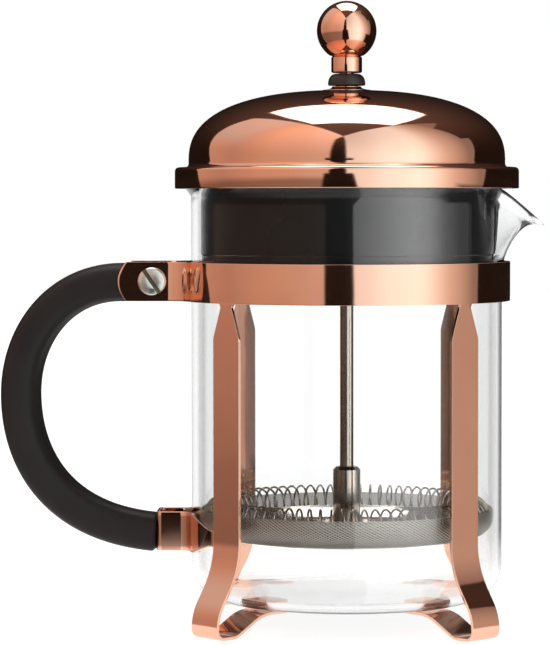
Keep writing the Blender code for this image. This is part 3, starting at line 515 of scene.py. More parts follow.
def studio():
    """Two tall panels with a dark gap between them, warm to the left and cool to the right, a white light
    overhead and dark surroundings. Past the object, directly or through the glass, all is plain white."""
    world = bpy.data.worlds.new("studio")
    bpy.context.scene.world = world
    world.use_nodes = True
    g = Graph(world.node_tree)
    towards = g.add("TexCoord").outputs["Generated"]
    x, y, z = g.add("SeparateXYZ", {0: towards}).outputs
    azimuth = g.math("ARCTAN2", x, g.times(y, -1.0))
    turn = g.ranged(azimuth, -math.pi, math.pi)
    path = g.add("LightPath")
    sharp = path.outputs["Is Singular Ray"]
    through_glass = path.outputs["Is Transmission Ray"]

    def panel(corners, softness=PANEL_SOFTNESS):
        return patch(g, towards, [direction(*corner) for corner in corners], softness)

    def around(stops):
        """A colour ramp round the horizon."""
        return g.ramp(turn, [
            ((degrees + 180) / 360, colour if isinstance(colour, tuple) else (colour,) * 3)
            for degrees, colour in stops
        ])

    # Where the panels are
    gap = g.math("MAXIMUM", panel(WIDE_GAP, GAP_SOFTNESS), panel(NARROW_GAP, GAP_SOFTNESS))
    beside_gap = g.math("SUBTRACT", 1.0, gap)
    left = g.times(panel(LEFT_PANEL), beside_gap)
    right = g.times(panel(RIGHT_PANEL), beside_gap)
    right = g.times(right, g.math("SUBTRACT", 1.0, panel(NOTCH)))
    top = patch(g, towards, [Vector((*corner, 1)) for corner in TOP_LIGHT], PANEL_SOFTNESS)

    # Their colours and strengths
    far_left = g.ranged(azimuth, radians(-75), radians(-95))
    high = g.times(g.ranged(z, 0.25, 0.5), far_left)
    left_tint = g.blend(high, around(LEFT_TINT), HIGH_TINT)
    left_gain = g.times(g.ranged(z, -0.14, 0.0, 0.42, 1.0, True), g.ranged(z, 0.1, 0.85, 1.0, 1.5))
    left_gain = g.times(left_gain, g.ranged(sharp, 0, 1, 1.0, 0.3))
    right_tint = g.blend(sharp, around(RIGHT_TINT), around(SHARP_TINT))
    not_far_right = g.ranged(azimuth, radians(86), radians(76))
    kept = g.math("MAXIMUM", g.ranged(z, -0.2, -0.12), not_far_right)
    right_gain = g.times(g.ranged(z, 0.1, 0.9, 1.75, 1.15), kept)
    right_gain = g.times(right_gain, g.ranged(sharp, 0, 1, 1.0, 1.5))

    # The surroundings, a little paler overhead, and the three lights on them
    rise = g.math("MAXIMUM", z, 0.0)
    dark = g.math("ADD", g.times(g.times(rise, rise), SURROUND_RISE), SURROUND_LOW)
    plain = g.scaled(SURROUND_TINT, dark)
    for colour, gain, mask in (
        (left_tint, left_gain, left), (right_tint, right_gain, right), ((1.0, 1.0, 1.0), TOP_GAIN, top),
    ):
        plain = g.vectors("ADD", plain, g.scaled(colour, g.times(gain, mask)))
    light = g.blend(path.outputs["Is Diffuse Ray"], plain, g.vectors("ADD", plain, FILL))

    # The room behind, as it shows in the glass and in mirror-smooth surfaces
    level = g.times(g.ranged(z, -0.9, -0.7), g.ranged(z, 0.5, 0.3))
    bounced = g.math("MAXIMUM", through_glass, sharp)
    wall = g.scaled(around(WALL), g.times(bounced, level))
    light = g.vectors("MAXIMUM", light, wall)

    # White where the camera looks past the object or straight through the glass
    first_glossy = g.math("LESS_THAN", path.outputs["Glossy Depth"], 0.5)
    first_diffuse = g.math("LESS_THAN", path.outputs["Diffuse Depth"], 0.5)
    through = g.times(through_glass, g.times(first_glossy, first_diffuse))
    seen = g.math("MAXIMUM", path.outputs["Is Camera Ray"], through)
    colour = g.blend(seen, light, g.blend(through, SEEN_WHITE, THROUGH_WHITE))
    g.finish(g.add("Background", {"Color": colour}).outputs[0], "World")


def add_camera():
    """The photograph's view: nearly level, a little above the band, and slightly towards the spout's side."""
    data = bpy.data.cameras.new("camera")
    data.sensor_width = SENSOR
    data.lens = SENSOR * FOCAL_PIXELS / PHOTO_HEIGHT
    camera = bpy.data.objects.new("camera", data)
    bpy.context.scene.collection.objects.link(camera)
    yaw = CAMERA_TURN + (AXIS_COLUMN - PHOTO_WIDTH / 2) / FOCAL_PIXELS
    pitch = (PHOTO_HEIGHT / 2 - LEVEL_ROW) / FOCAL_PIXELS
    x = BEAKER_X + CAMERA_DISTANCE * math.sin(CAMERA_TURN)
    place = Matrix.Translation((x, -CAMERA_DISTANCE * math.cos(CAMERA_TURN), CAMERA_HEIGHT))
    aim = Matrix.Rotation(yaw, 4, "Z") @ Matrix.Rotation(math.pi / 2 - pitch, 4, "X")
    camera.matrix_world = place @ aim @ Matrix.Rotation(CAMERA_ROLL, 4, "Z")
    bpy.context.scene.camera = camera
    bpy.context.scene.view_settings.view_transform = "Standard"


def add_floor():
    bm = bmesh.new()
    bmesh.ops.create_circle(bm, cap_ends=True, segments=96, radius=3.0)
    floor = add_object("floor", bm)
    floor.location = (BEAKER_X, 0, -0.02 * MM)
    floor.data.materials.append(pale_floor())


# Shapes


class Walk:
    """A pen that walks over a plane in straight runs and round bends, and keeps the points it passes."""

    def __init__(self, start, heading):
        self.points = [tuple(start)]
        self.heading = heading

    def forward(self, length, steps):
        for _ in range(steps):
            x, y = self.points[-1]
            run = length / steps
            self.points.append((x + run * math.cos(self.heading), y + run * math.sin(self.heading)))

    def bend(self, radius, angle, steps):
        """A round bend, to the left when the angle is positive."""
        side = math.copysign(1, angle)
        x, y = self.points[-1]
        centre_x = x - side * radius * math.sin(self.heading)
        centre_y = y + side * radius * math.cos(self.heading)
        start = self.heading
        for step in range(1, steps + 1):
            self.heading = start + angle * step / steps
            self.points.append((
                centre_x + side * radius * math.sin(self.heading),
                centre_y - side * radius * math.cos(self.heading),
            ))


def arc(centre, radius, start, end, steps):
    points = []
    for step in range(steps + 1):
        angle = radians(start + (end - start) * step / steps)
        points.append((centre[0] + radius * math.cos(angle), centre[1] + radius * math.sin(angle)))
    return points


def polar(radius, angle):
    return radius * math.cos(angle), radius * math.sin(angle)


def ease(share):
    share = min(max(share, 0.0), 1.0)
    return share * share * (3 - 2 * share)


def rounded(points, radius, closed):
    """Rounds each corner of an outline sharper than about 20 degrees."""
    count = len(points)
    made = []
    for i, point in enumerate(points):
        if not closed and i in (0, count - 1):
            made.append(point)
            continue
        here = Vector(point)
        back = Vector(points[i - 1]) - here
        on = Vector(points[(i + 1) % count]) - here
        turn = math.pi - back.angle(on) if back.length and on.length else 0
        if turn < 0.35:
            made.append(point)
            continue
        reach = min(radius * math.tan(turn / 2), 0.45 * back.length, 0.45 * on.length)
        first = here + back.normalized() * reach
        last = here + on.normalized() * reach
        for step in range(ROUNDING_STEPS + 1):
            t = step / ROUNDING_STEPS
            made.append(tuple(first * (1 - t) ** 2 + here * 2 * t * (1 - t) + last * t * t))
    return made


def agree(bm):
    """Makes neighbouring faces look the same way, outwards on a closed shape."""
    bmesh.ops.recalc_face_normals(bm, faces=bm.faces)


def lathe(outline, steps):
    """A bmesh turned round Z from (radius, height) points, with UV in millimetres round and along it.
    An outline that starts on the axis is capped there; any other is a closed ring."""
    solid = outline[0][0] == 0
    bm = bmesh.new()
    uv = bm.loops.layers.uv.new("wrap")
    rings = []
    for radius, height in outline:
        count = 1 if radius == 0 else steps
        rings.append([bm.verts.new((*polar(radius, math.tau * k / count), height)) for k in range(count)])
    travel = [0.0]
    loop = outline if solid else outline + outline[:1]
    for (r0, z0), (r1, z1) in zip(loop, loop[1:]):
        travel.append(travel[-1] + math.hypot(r1 - r0, z1 - z0))
    widest = max(radius for radius, _ in outline)
    for i in range(len(loop) - 1):
        low, high = rings[i], rings[(i + 1) % len(rings)]
        for k in range(steps):
            corners = [(low, k, i), (low, k + 1, i), (high, k + 1, i + 1), (high, k, i + 1)]
            if len(low) == 1:
                corners.pop(1)
            elif len(high) == 1:
                corners.pop()
            face = bm.faces.new([ring[spot % len(ring)] for ring, spot, _ in corners])
            for link, (_, spot, row) in zip(face.loops, corners):
                link[uv].uv = (math.tau * spot / steps * widest, travel[row])
    agree(bm)
    return bm


def grid_faces(bm, rows, closed=False):
    """Joins rows of verts with quads."""
    for first, second in zip(rows, rows[1:]):
        count = len(first)
        for k in range(count if closed else count - 1):
            n = (k + 1) % count
            bm.faces.new((first[k], first[n], second[n], second[k]))


def add_object(name, bm):
    mesh = bpy.data.meshes.new(name)
    bm.to_mesh(mesh)
    bm.free()
    made = bpy.data.objects.new(name, mesh)
    bpy.context.scene.collection.objects.link(made)
    return made


def piece(name, body, bm, surface, node, matrix=AXIS, sharp=SHARP_ANGLE):
    """Makes a bmesh into a smooth object that rides on a body and stands for its CAD node."""
    bm.transform(matrix)
    made = add_object(name, bm)
    made.data.shade_smooth()
    made.data.set_sharp_from_angle(angle=radians(sharp))
    made.data.materials.append(surface)
    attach(made, body)
    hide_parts(node)
    return made


def turned(name, body, outline, surface, node, edge, steps):
    """A turned piece, with its outline's corners rounded."""
    solid = outline[0][0] == 0
    shape = rounded(outline, edge, not solid)
    return piece(name, body, lathe(shape, steps), surface, node)


def add_bevel(obj, width, segments):
    bevel = obj.modifiers.new("edge", "BEVEL")
    bevel.width = width * MM
    bevel.segments = segments
    bevel.limit_method = "ANGLE"
    bevel.angle_limit = radians(50)
    return bevel


def sheet_metal(obj, thickness, edge, edge_surface):
    """Gives a sheet its thickness behind its face, and softens its cut edges, which are less polished and
    painted paler, as a painted highlight along them.
    """
    obj.data.materials.append(edge_surface)
    solidify = obj.modifiers.new("thickness", "SOLIDIFY")
    solidify.thickness = thickness * MM
    solidify.offset = -1
    solidify.use_even_offset = True
    # the bevelled edges take the paler edge copper: a painted highlight
    add_bevel(obj, edge, 3).material = 1
    weighted = obj.modifiers.new("normals", "WEIGHTED_NORMAL")
    weighted.keep_sharp = False


def cut(obj, shape, surface=None, edge=0.0, sharp=SHARP_ANGLE):
    """Cuts a bmesh out of an object. The cut takes a surface and a bevel where they are given."""
    cutter = add_object("cutter", shape)
    boolean = obj.modifiers.new("cut", "BOOLEAN")
    boolean.operation = "DIFFERENCE"
    boolean.object = cutter
    if surface:
        cutter.data.materials.append(surface)
        boolean.material_mode = "TRANSFER"
    if edge:
        add_bevel(obj, edge, 2)
    made = bpy.data.meshes.new_from_object(obj.evaluated_get(bpy.context.evaluated_depsgraph_get()))
    obj.modifiers.clear()
    obj.data = made
    bpy.data.objects.remove(cutter)
    made.shade_smooth()
    made.set_sharp_from_angle(angle=radians(sharp))


# Frame


def fillet_place(face_y, fillet, radius):
    """Where a flat face at face_y meets the round bend into a ring: its X, and the bend's end as an angle."""
    centre_y = face_y + fillet
    fillet_x = -math.sqrt((radius + fillet)**2 - centre_y**2)
    return fillet_x, math.atan2(centre_y, -fillet_x)


def face_outwards(bm, axis):
    """Turns a sheet's faces so that the one lowest along an axis faces away from the middle."""
    agree(bm)
    face = min(bm.faces, key=lambda f: f.calc_center_median()[axis])
    if face.normal[axis] > 0:
        bmesh.ops.reverse_faces(bm, faces=bm.faces)


def band_plan():
    """(x, y) points along the band's outer face from the front ear's end round to the rear ear's end,
    the points where the two raised beads stand, and the point where each leg's neck starts."""
    fillet_x, opening = fillet_place(EAR_FACE_Y, EAR_FILLET, BAND_RADIUS)
    walk = Walk((EAR_TIP_X, -EAR_FACE_Y), 0)
    walk.forward(fillet_x - EAR_TIP_X - EAR_FINE_RUN, 12)
    walk.forward(EAR_FINE_RUN, 5)
    walk.bend(EAR_FILLET, opening - math.pi / 2, 22)
    points = list(walk.points)
    bead = len(points) - BEAD_BACK
    neck_half = math.asin(NECK_ROOT_WIDTH / 2 / BAND_RADIUS)
    angle = math.pi + opening
    necks = []

    def sweep(start, end):
        steps = max(1, math.ceil(abs(end - start) / BAND_STEP))
        points.extend(polar(BAND_RADIUS, start + (end - start) * s / steps) for s in range(1, steps + 1))

    for leg in range(4):
        middle = math.pi + radians(45 + 90 * leg)
        sweep(angle, middle - neck_half)
        necks.append(len(points) - 1)
        points += [polar(BAND_RADIUS, middle + neck_half * share) for share in LEG_SPREAD[1:]]
        angle = middle + neck_half
    sweep(angle, 3 * math.pi - opening)
    points += [(x, -y) for x, y in reversed(walk.points[:-1])]
    return points, (bead, len(points) - 1 - bead), necks


def leg_rows():
    """(radius, height, half width) of each row down a leg, round its foot and in to the tongue's end."""
    drop = FLARE_RADIUS * math.sin(FLARE_ANGLE) + FLARE_RUN * math.cos(FLARE_ANGLE)
    drop += SHIN_RADIUS * math.sin(FLARE_ANGLE) + ROLL_RADIUS
    walk = Walk((BAND_RADIUS, drop), -math.pi / 2)
    walk.bend(FLARE_RADIUS, FLARE_ANGLE, 16)
    walk.forward(FLARE_RUN, 3)
    walk.bend(SHIN_RADIUS, -FLARE_ANGLE, 12)
    walk.bend(ROLL_RADIUS, -math.pi / 2, 14)
    walk.forward(SOLE_LENGTH, 2)
    walk.bend(RISE_RADIUS, -RISE_ANGLE, 8)
    walk.forward(RISE_RUN, 3)
    walk.bend(TONGUE_RADIUS, RISE_ANGLE, 10)
    half = LEG_WIDTH / 2
    rows = [(BAND_RADIUS, height, width) for height, width in NECK_ROWS + SHOULDER_ROWS]
    straight = 14
    for step in range(straight):
        rows.append((BAND_RADIUS, SHOULDER_END + (drop - SHOULDER_END) * step / straight, half))
    rows += [(radius, height, half) for radius, height in walk.points]
    last_r, last_z = walk.points[-1]
    for step in range(1, 4):
        rows.append((last_r + (TONGUE_END + TONGUE_NOSE - last_r) * step / 3, last_z, half))
    for step in range(1, 9):
        lean = radians(10.8 * step)
        rows.append((TONGUE_END + TONGUE_NOSE * (1 - math.sin(lean)), last_z, half * math.cos(lean) ** 0.6))
    return rows


def make_frame(surface, edge_surface):
    plan, beads, necks = band_plan()
    bm = bmesh.new()
    mid = (BAND_LOW + BAND_HIGH) / 2
    half = (BAND_HIGH - BAND_LOW) / 2
    columns = []
    for i, (x, y) in enumerate(plan):
        before, after = Vector(plan[max(i - 1, 0)]), Vector(plan[min(i + 1, len(plan) - 1)])
        along = (after - before).normalized()
        outward = Vector((along.y, -along.x))
        ear = min(1.0, max(0.0, (EAR_ROOT_X - x) / (EAR_ROOT_X - EAR_TIP_X)))
        column = []
        for row in range(BAND_ROWS + 1):
            height = BAND_LOW + (BAND_HIGH - BAND_LOW) * row / BAND_ROWS
            up = (height - mid) / half
            px = x + ear**3 * (EAR_CORNER_X - EAR_TIP_X) * up * up
            lift = 0.0
            for bead in beads:
                aside = (Vector((x, y)) - Vector(plan[bead])).length / BEAD_HALF[0]
                ring = math.hypot(aside, (height - CLAMP_Z) / BEAD_HALF[1])
                lift += BEAD_HEIGHT * ease((1 - ring) / BEAD_SLOPE)
            column.append(bm.verts.new((px + outward.x * lift, y + outward.y * lift, height)))
        columns.append(column)
    grid_faces(bm, columns)
    rows = leg_rows()
    for neck, azimuth in zip(necks, LEG_AZIMUTHS):
        outward = Vector((*polar(1, radians(azimuth)), 0))
        along = Vector((-outward.y, outward.x, 0))
        strip = [[column[0] for column in columns[neck:neck + len(LEG_SPREAD)]]]
        for radius, height, width in rows:
            middle = outward * radius + Vector((0, 0, height))
            strip.append([bm.verts.new(middle + along * width * share) for share in LEG_SPREAD])
        grid_faces(bm, [list(reversed(row)) for row in strip])
    face_outwards(bm, 1)
    frame = piece("frame_band_and_legs", "stand", bm, surface, "frame", sharp=60)
    sheet_metal(frame, SHEET, FRAME_EDGE, edge_surface)


def make_bracket(surface, edge_surface):
    fillet_x, opening = fillet_place(BRACKET_CHEEK_Y, BRACKET_FILLET, BRACKET_RADIUS)
    walk = Walk(polar(BRACKET_RADIUS, math.pi - WING_END), math.pi - WING_END + math.pi / 2)
    walk.bend(BRACKET_RADIUS, WING_END - opening, 28)
    walk.bend(BRACKET_FILLET, opening - math.pi / 2, 14)
    walk.forward(fillet_x - BRACKET_NOSE_X - BRACKET_CORNER, 4)
    walk.bend(BRACKET_CORNER, math.pi / 2, 9)
    walk.forward(BRACKET_CHEEK_Y - BRACKET_CORNER, 4)
    plan = walk.points + [(x, -y) for x, y in reversed(walk.points[:-1])]
    bm = bmesh.new()
    columns = []
    for x, y in plan:
        angle = abs(math.atan2(y, -x))
        taper = min(max((angle - WING_TAPER[0]) / (WING_TAPER[1] - WING_TAPER[0]), 0), 1)
        half = BRACKET_HALF_HEIGHT + (WING_TIP_HALF_HEIGHT - BRACKET_HALF_HEIGHT) * taper
        columns.append([bm.verts.new((x, y, BRACKET_MID_Z + half * (k / 4 - 1))) for k in range(9)])
    grid_faces(bm, columns)
    face_outwards(bm, 0)
    bracket = piece("bracket_strip", "stand", bm, surface, "lower_bracket", sharp=60)
    sheet_metal(bracket, BRACKET_SHEET, BRACKET_EDGE, edge_surface)


def screw(length):
    """A cheese head with a slightly domed face, on a plain shank, with the head's underside at Z = 0."""
    radius, height, shank = HEAD_RADIUS, HEAD_HEIGHT, SHANK_RADIUS
    outline = [(0, -length), (shank * 0.75, -length), (shank, -length + shank * 0.4), (shank, 0), (radius, 0)]
    outline += [(radius, height * 0.62), (radius * 0.93, height * 0.86), (radius * 0.6, height * 0.96)]
    outline.append((0, height))
    return lathe(rounded(outline, HEAD_EDGE, False), 96)


def make_clamp(nickel, slot_shade_nickel):
    """The slotted screw and its hexagonal nut. The inside of the slot is painted dark brown, as painted shade
    in the recess.
    """
    head_y = -EAR_FACE_Y - GAP
    length = 2 * EAR_FACE_Y + 2 * GAP + NUT_HEIGHT + SHANK_PAST_NUT
    to_place = Matrix.Translation((CLAMP_X, head_y, CLAMP_Z)) @ Matrix.Rotation(math.pi / 2, 4, "X")
    shape = screw(length)
    made = piece("clamp_screw_slotted", "stand", shape, nickel, "clamp_screw", AXIS @ to_place)
    slot = bmesh.new()
    bmesh.ops.create_cube(slot, size=1)
    to_face = Matrix.Translation((CLAMP_X, head_y - HEAD_HEIGHT, CLAMP_Z))
    size = Matrix.Diagonal((4 * HEAD_RADIUS, 2 * SLOT_DEPTH, SLOT_WIDTH, 1))
    slot.transform(AXIS @ to_face @ Matrix.Rotation(SLOT_TURN, 4, "Y") @ size)
    # the slot's faces take the dark nickel: painted shade in the slot
    cut(made, slot, slot_shade_nickel, SLOT_EDGE, 30)

    corner = NUT_FLATS / 2 / math.cos(math.pi / 6)
    inset, bevel = NUT_CHAMFER
    profile = [
        (BORE, 0), (corner - inset, 0), (corner, bevel), (corner, NUT_HEIGHT - bevel),
        (corner - inset, NUT_HEIGHT), (BORE, NUT_HEIGHT),
    ]
    bm = lathe(profile, 96)
    for vert in bm.verts:
        turn = math.atan2(vert.co.y, vert.co.x) % (math.pi / 3) - math.pi / 6
        flat = NUT_FLATS / 2 / math.cos(turn)
        if vert.co.xy.length > flat:
            vert.co.xy = vert.co.xy.normalized() * flat
    to_nut = Matrix.Translation((CLAMP_X, EAR_FACE_Y + GAP + NUT_HEIGHT, CLAMP_Z))
    piece("clamp_nut_hex", "stand", bm, nickel, "clamp_nut",
          AXIS @ to_nut @ Matrix.Rotation(math.pi / 2, 4, "X"))


# Handle


def bezier(p0, p1, p2, p3, steps):
    points = []
    for step in range(1, steps + 1):
        t = step / steps
        weights = ((1 - t) ** 3, 3 * t * (1 - t) ** 2, 3 * t * t * (1 - t), t**3)
        points.append(tuple(sum(w * p[k] for w, p in zip(weights, (p0, p1, p2, p3))) for k in (0, 1)))
    return points


def handle_path():
    """(x, z) points along the middle of the handle, from between the ears down to the bracket."""
    side_x = -(HANDLE_REACH - HANDLE_THICKNESS / 2)
    bend = (HANDLE_BEND_X, HANDLE_TOP_Z)
    side = (side_x, HANDLE_MID_Z)
    foot = (BRACKET_NOSE_X + 2, BRACKET_MID_Z - 1)
    path = [(HANDLE_START_X + (HANDLE_BEND_X - HANDLE_START_X) * k / 8, HANDLE_TOP_Z) for k in range(8)]
    path.append(bend)
    path += bezier(bend, (bend[0] - TOP_PULL, bend[1]), (side_x, side[1] + SIDE_PULL_UP), side, 44)
    towards_foot = (foot[0] - FOOT_PULL[0], foot[1] + FOOT_PULL[1])
    path += bezier(side, (side_x, side[1] - SIDE_PULL_DOWN), towards_foot, foot, 52)
    return path


def handle_depth(share):
    start, grip, foot = HANDLE_DEPTHS
    swell = (grip - start) * math.sin(math.pi * min(max((share - 0.15) / 0.6, 0), 1))
    return start + swell + (foot - start) * ease((share - 0.55) / 0.4)


def handle_ring(depth, shrink):
    """A squarish oval of (across, along Y) points, drawn in from its edge."""
    ring = []
    for step in range(HANDLE_SIDES):
        spot = polar(1, math.tau * (step + 0.5) / HANDLE_SIDES)
        u, v = [math.copysign(abs(part) ** (2 / HANDLE_POWER), part) for part in spot]
        ring.append((u * (HANDLE_THICKNESS / 2 - shrink), v * (depth / 2 - shrink)))
    return ring


def make_handle(surface):
    path = handle_path()
    lengths = [0.0]
    for a, b in zip(path, path[1:]):
        lengths.append(lengths[-1] + math.hypot(b[0] - a[0], b[1] - a[1]))
    spots = []
    for i, (x, z) in enumerate(path):
        if x > HANDLE_END_X and z < HANDLE_MID_Z:
            break
        before, after = path[max(i - 1, 0)], path[i + 1]
        forward = Vector((after[0] - before[0], 0, after[1] - before[1])).normalized()
        spots.append((Vector((x, 0, z)), forward, lengths[i] / lengths[-1]))
    bm = bmesh.new()
    verts = []

    def add(spot, onward, shrink):
        """Adds the ring a little way on from a spot of the path, drawn in from its edge."""
        centre, forward, share = spot
        across = Vector((-forward.z, 0, forward.x))
        ring = handle_ring(handle_depth(share), shrink)
        middle = centre + forward * onward
        verts.append([bm.verts.new(middle + across * u + Vector((0, v, 0))) for u, v in ring])

    for onward, shrink in TOP_ROUNDING:
        add(spots[0], onward, shrink)
    for spot in spots[1:]:
        add(spot, 0, 0)
    reach = (HANDLE_END_X - spots[-1][0].x) / spots[-1][1].x
    for left, shrink in FOOT_ROUNDING:
        add(spots[-1], reach - left, shrink)
    for vert in verts[-1]:
        vert.co.x = HANDLE_END_X
    grid_faces(bm, verts, closed=True)
    bm.faces.new(list(reversed(verts[0])))
    bm.faces.new(verts[-1])
    agree(bm)
    piece("handle_grip", "stand", bm, surface, "handle")


# Beaker


def spout_shift(angle, share):
    """How far out and how far down the spout takes a point of the wall."""
    if share <= 0 or abs(angle) >= SPOUT_HALF_ANGLE:
        return 0, 0
    side = 0.5 + 0.5 * math.cos(math.pi * angle / SPOUT_HALF_ANGLE)
    share = min(share, 1.0)
    return SPOUT_OUT * side * share**SPOUT_OUT_POWER, SPOUT_DROP * side * share**SPOUT_DROP_POWER


def glass_wall(inset):
    """(radius, height) points up one face of the wall, from the base's flat to just under the rim."""
    corner = GLASS_CORNER - inset
    low = GLASS_BOTTOM + inset
    points = arc((GLASS_RADIUS - GLASS_CORNER, low + corner), corner, -90, 0, 16)
    top = GLASS_TOP - GLASS_WALL / 2
    steps = 44
    for step in range(1, steps + 1):
        height = low + corner + (top - low - corner) * step / steps
        flare = LIP_FLARE * ease((height - LIP_START) / (top - LIP_START))
        points.append((GLASS_RADIUS - inset + flare, height))
    return points


def make_beaker(surface):
    outer = glass_wall(0)
    inner = glass_wall(GLASS_WALL)
    rim = (GLASS_RADIUS + LIP_FLARE - GLASS_WALL / 2, GLASS_TOP - GLASS_WALL / 2)
    outline = [(0, GLASS_BOTTOM)] + outer + arc(rim, GLASS_WALL / 2, 0, 180, 8)[1:-1]
    outline += list(reversed(inner)) + [(0, GLASS_BOTTOM + GLASS_WALL)]
    bm = lathe(outline, FINE_STEPS)
    for vert in bm.verts:
        angle = math.atan2(vert.co.y, vert.co.x)
        out, down = spout_shift(angle, (vert.co.z - SPOUT_LOW) / (GLASS_TOP - SPOUT_LOW))
        if out:
            vert.co.xy *= 1 + out / vert.co.xy.length
            vert.co.z -= down
    piece("beaker_glass", "glass", bm, surface, "beaker", sharp=60)


# Lid


def dome_face(inset):
    """The lid's face from the hole at its top down to the rim's foot, drawn in by the sheet."""
    points = []
    for step in range(DOME_STEPS + 1):
        share = math.sin(math.pi / 2 * step / DOME_STEPS) ** 0.85
        radius = DOME_HOLE + (DOME_RADIUS - DOME_HOLE) * share
        rise = (1 - (radius / DOME_RADIUS) ** DOME_POWER) ** (1 / DOME_POWER)
        height = DOME_BASE + (DOME_TOP - DOME_BASE) * rise
        points.append((radius - inset * share, height - inset * (1 - 0.6 * share)))
    points += [(radius - inset, height - inset * sink) for radius, height, sink in DOME_FOOT]
    rim_centre = (RIM_RADIUS - RIM_ROUNDING, RIM_HIGH - RIM_ROUNDING)
    points += arc(rim_centre, RIM_ROUNDING - inset, 90, 0, 9)
    points.append((RIM_RADIUS - inset, RIM_LOW + RIM_FOOT))
    return points


def make_lid(copper, black):
    foot = arc((RIM_RADIUS - RIM_FOOT, RIM_LOW + RIM_FOOT), RIM_FOOT, 0, -180, 6)[1:-1]
    outline = dome_face(0) + foot + list(reversed(dome_face(DOME_SHEET)))
    dome = lathe(outline, FINE_STEPS)
    piece("lid_dome_plated", "lid", dome, copper, "lid_dome", sharp=50)

    low = GLASS_TOP + GAP
    high = low + FLANGE_HEIGHT
    wall = SKIRT_RADIUS - SKIRT_WALL
    back, step_z = SKIRT_STEP
    outline = [
        (BORE, NECK_TOP), (BORE, low - BOSS_DROP), (STEM_RADIUS, low - BOSS_DROP), (STEM_RADIUS, low),
        (wall, low), (wall, SKIRT_LOW), (SKIRT_RADIUS - back, SKIRT_LOW), (SKIRT_RADIUS - back, step_z),
        (SKIRT_RADIUS, step_z + back), (SKIRT_RADIUS, low), (FLANGE_RADIUS, low), (FLANGE_RADIUS, high),
        (STEM_RADIUS, high), (STEM_RADIUS, STEM_TOP), (NECK_RADIUS, STEM_TOP), (NECK_RADIUS, NECK_TOP),
    ]
    insert = turned("lid_insert_black", "lid", outline, black, "lid_insert", 0.25, 180)
    slots = bmesh.new()
    to_wall = Matrix.Translation((SKIRT_RADIUS, 0, POUR_SLOT_Z)) @ Matrix.Diagonal((*POUR_SLOT_SIZE, 1))
    for number in range(POUR_SLOTS):
        turn = Matrix.Rotation(radians(POUR_SLOT_ANGLE * (number - POUR_SLOTS // 2)), 4, "Z")
        bmesh.ops.create_cube(slots, size=1, matrix=AXIS @ turn @ to_wall)
    cut(insert, slots)


def make_top(copper, black):
    turned("ferrule_plated", "lid_carrier", FERRULE, copper, "lid_ferrule", 0.08, 96)
    radius, height = BUSH_ROUNDING
    bush = [(BORE, BUSH_TOP)]
    for x, z in arc(BUSH_SHOULDER, radius, 90, 0, 10):
        bush.append((x, BUSH_SHOULDER[1] + (z - BUSH_SHOULDER[1]) * height / radius))
    turned("bush_black", "lid_carrier", bush + BUSH_FOOT, black, "rod_bush", 0.08, 96)

    centre = KNOB_TOP - KNOB_RADIUS
    join = math.degrees(math.asin((KNOB_JOIN_Z - centre) / KNOB_RADIUS))
    ball = arc((0, centre), KNOB_RADIUS, join + 4.5, 90, 48)
    ball[-1] = (0, KNOB_TOP)
    turned("knob_plated", "plunger", KNOB_COLLAR + ball, copper, "knob", 0.12, 128)


# Plunger


def make_rod(steel, rod_steel):
    for name, outline, surface, node, edge, steps in (
        ("rod_polished", ROD, rod_steel, "plunger_rod", 0.1, 64),
        ("sleeve_turned", SLEEVE, rod_steel, "rod_sleeve", 0.12, 96),
        ("filter_nut_turned", FILTER_NUT, steel, "filter_nut", 0.12, 96),
        ("eyelet_pressed", EYELET, steel, "mesh_eyelet", 0.2, 96),
    ):
        turned(name, "plunger", outline, surface, node, edge, steps)


def make_coil(surface):
    """A helix bent round into a ring: its wire closes on itself after the last turn."""
    count = COIL_TURNS * COIL_TURN_POINTS
    bm = bmesh.new()
    centres = []
    for i in range(count):
        turn = -math.tau * i / COIL_TURN_POINTS
        outward = Vector((*polar(1, math.tau * i / count), 0))
        spoke = outward * math.cos(turn) + Vector((0, 0, math.sin(turn)))
        centre = outward * COIL_RING_RADIUS + spoke * COIL_LOOP_RADIUS + Vector((0, 0, COIL_Z))
        centres.append((centre, spoke))
    rings = []
    for i, (centre, spoke) in enumerate(centres):
        forward = (centres[(i + 1) % count][0] - centres[i - 1][0]).normalized()
        side = forward.cross(spoke).normalized()
        up = side.cross(forward)
        rings.append([
            bm.verts.new(centre + (up * math.cos(a) + side * math.sin(a)) * COIL_WIRE_RADIUS)
            for a in (math.tau * k / COIL_WIRE_SIDES for k in range(COIL_WIRE_SIDES))
        ])
    grid_faces(bm, rings + rings[:1], closed=True)
    agree(bm)
    piece("coil_wire", "plunger", bm, surface, "coil_spring", sharp=80)


def mesh_face(inset):
    """The filter cloth: a flat disc whose edge turns up round the coil in a bulge."""
    centre_r = MESH_RADIUS - MESH_BULGE_DEPTH
    points = [(BORE + (centre_r - BORE) * k / 10, MESH_LOW + inset) for k in range(11)]
    for step in range(1, 31):
        angle = radians(-90 + MESH_TURN_UP * step / 30)
        points.append((
            centre_r + (MESH_BULGE_DEPTH - inset) * math.cos(angle),
            MESH_BULGE_Z + (MESH_BULGE_Z - MESH_LOW - inset) * math.sin(angle),
        ))
    return points


def make_filter(cloth):
    outline = mesh_face(0) + list(reversed(mesh_face(MESH_SHEET)))
    piece("filter_cloth", "plunger", lathe(outline, 180), cloth, "filter_mesh", sharp=60)


def plate_with_holes(name, outline, holes, surface, node):
    plate = turned(name, "plunger", outline, surface, node, 0.12, 180)
    holes.transform(AXIS)
    cut(plate, holes)


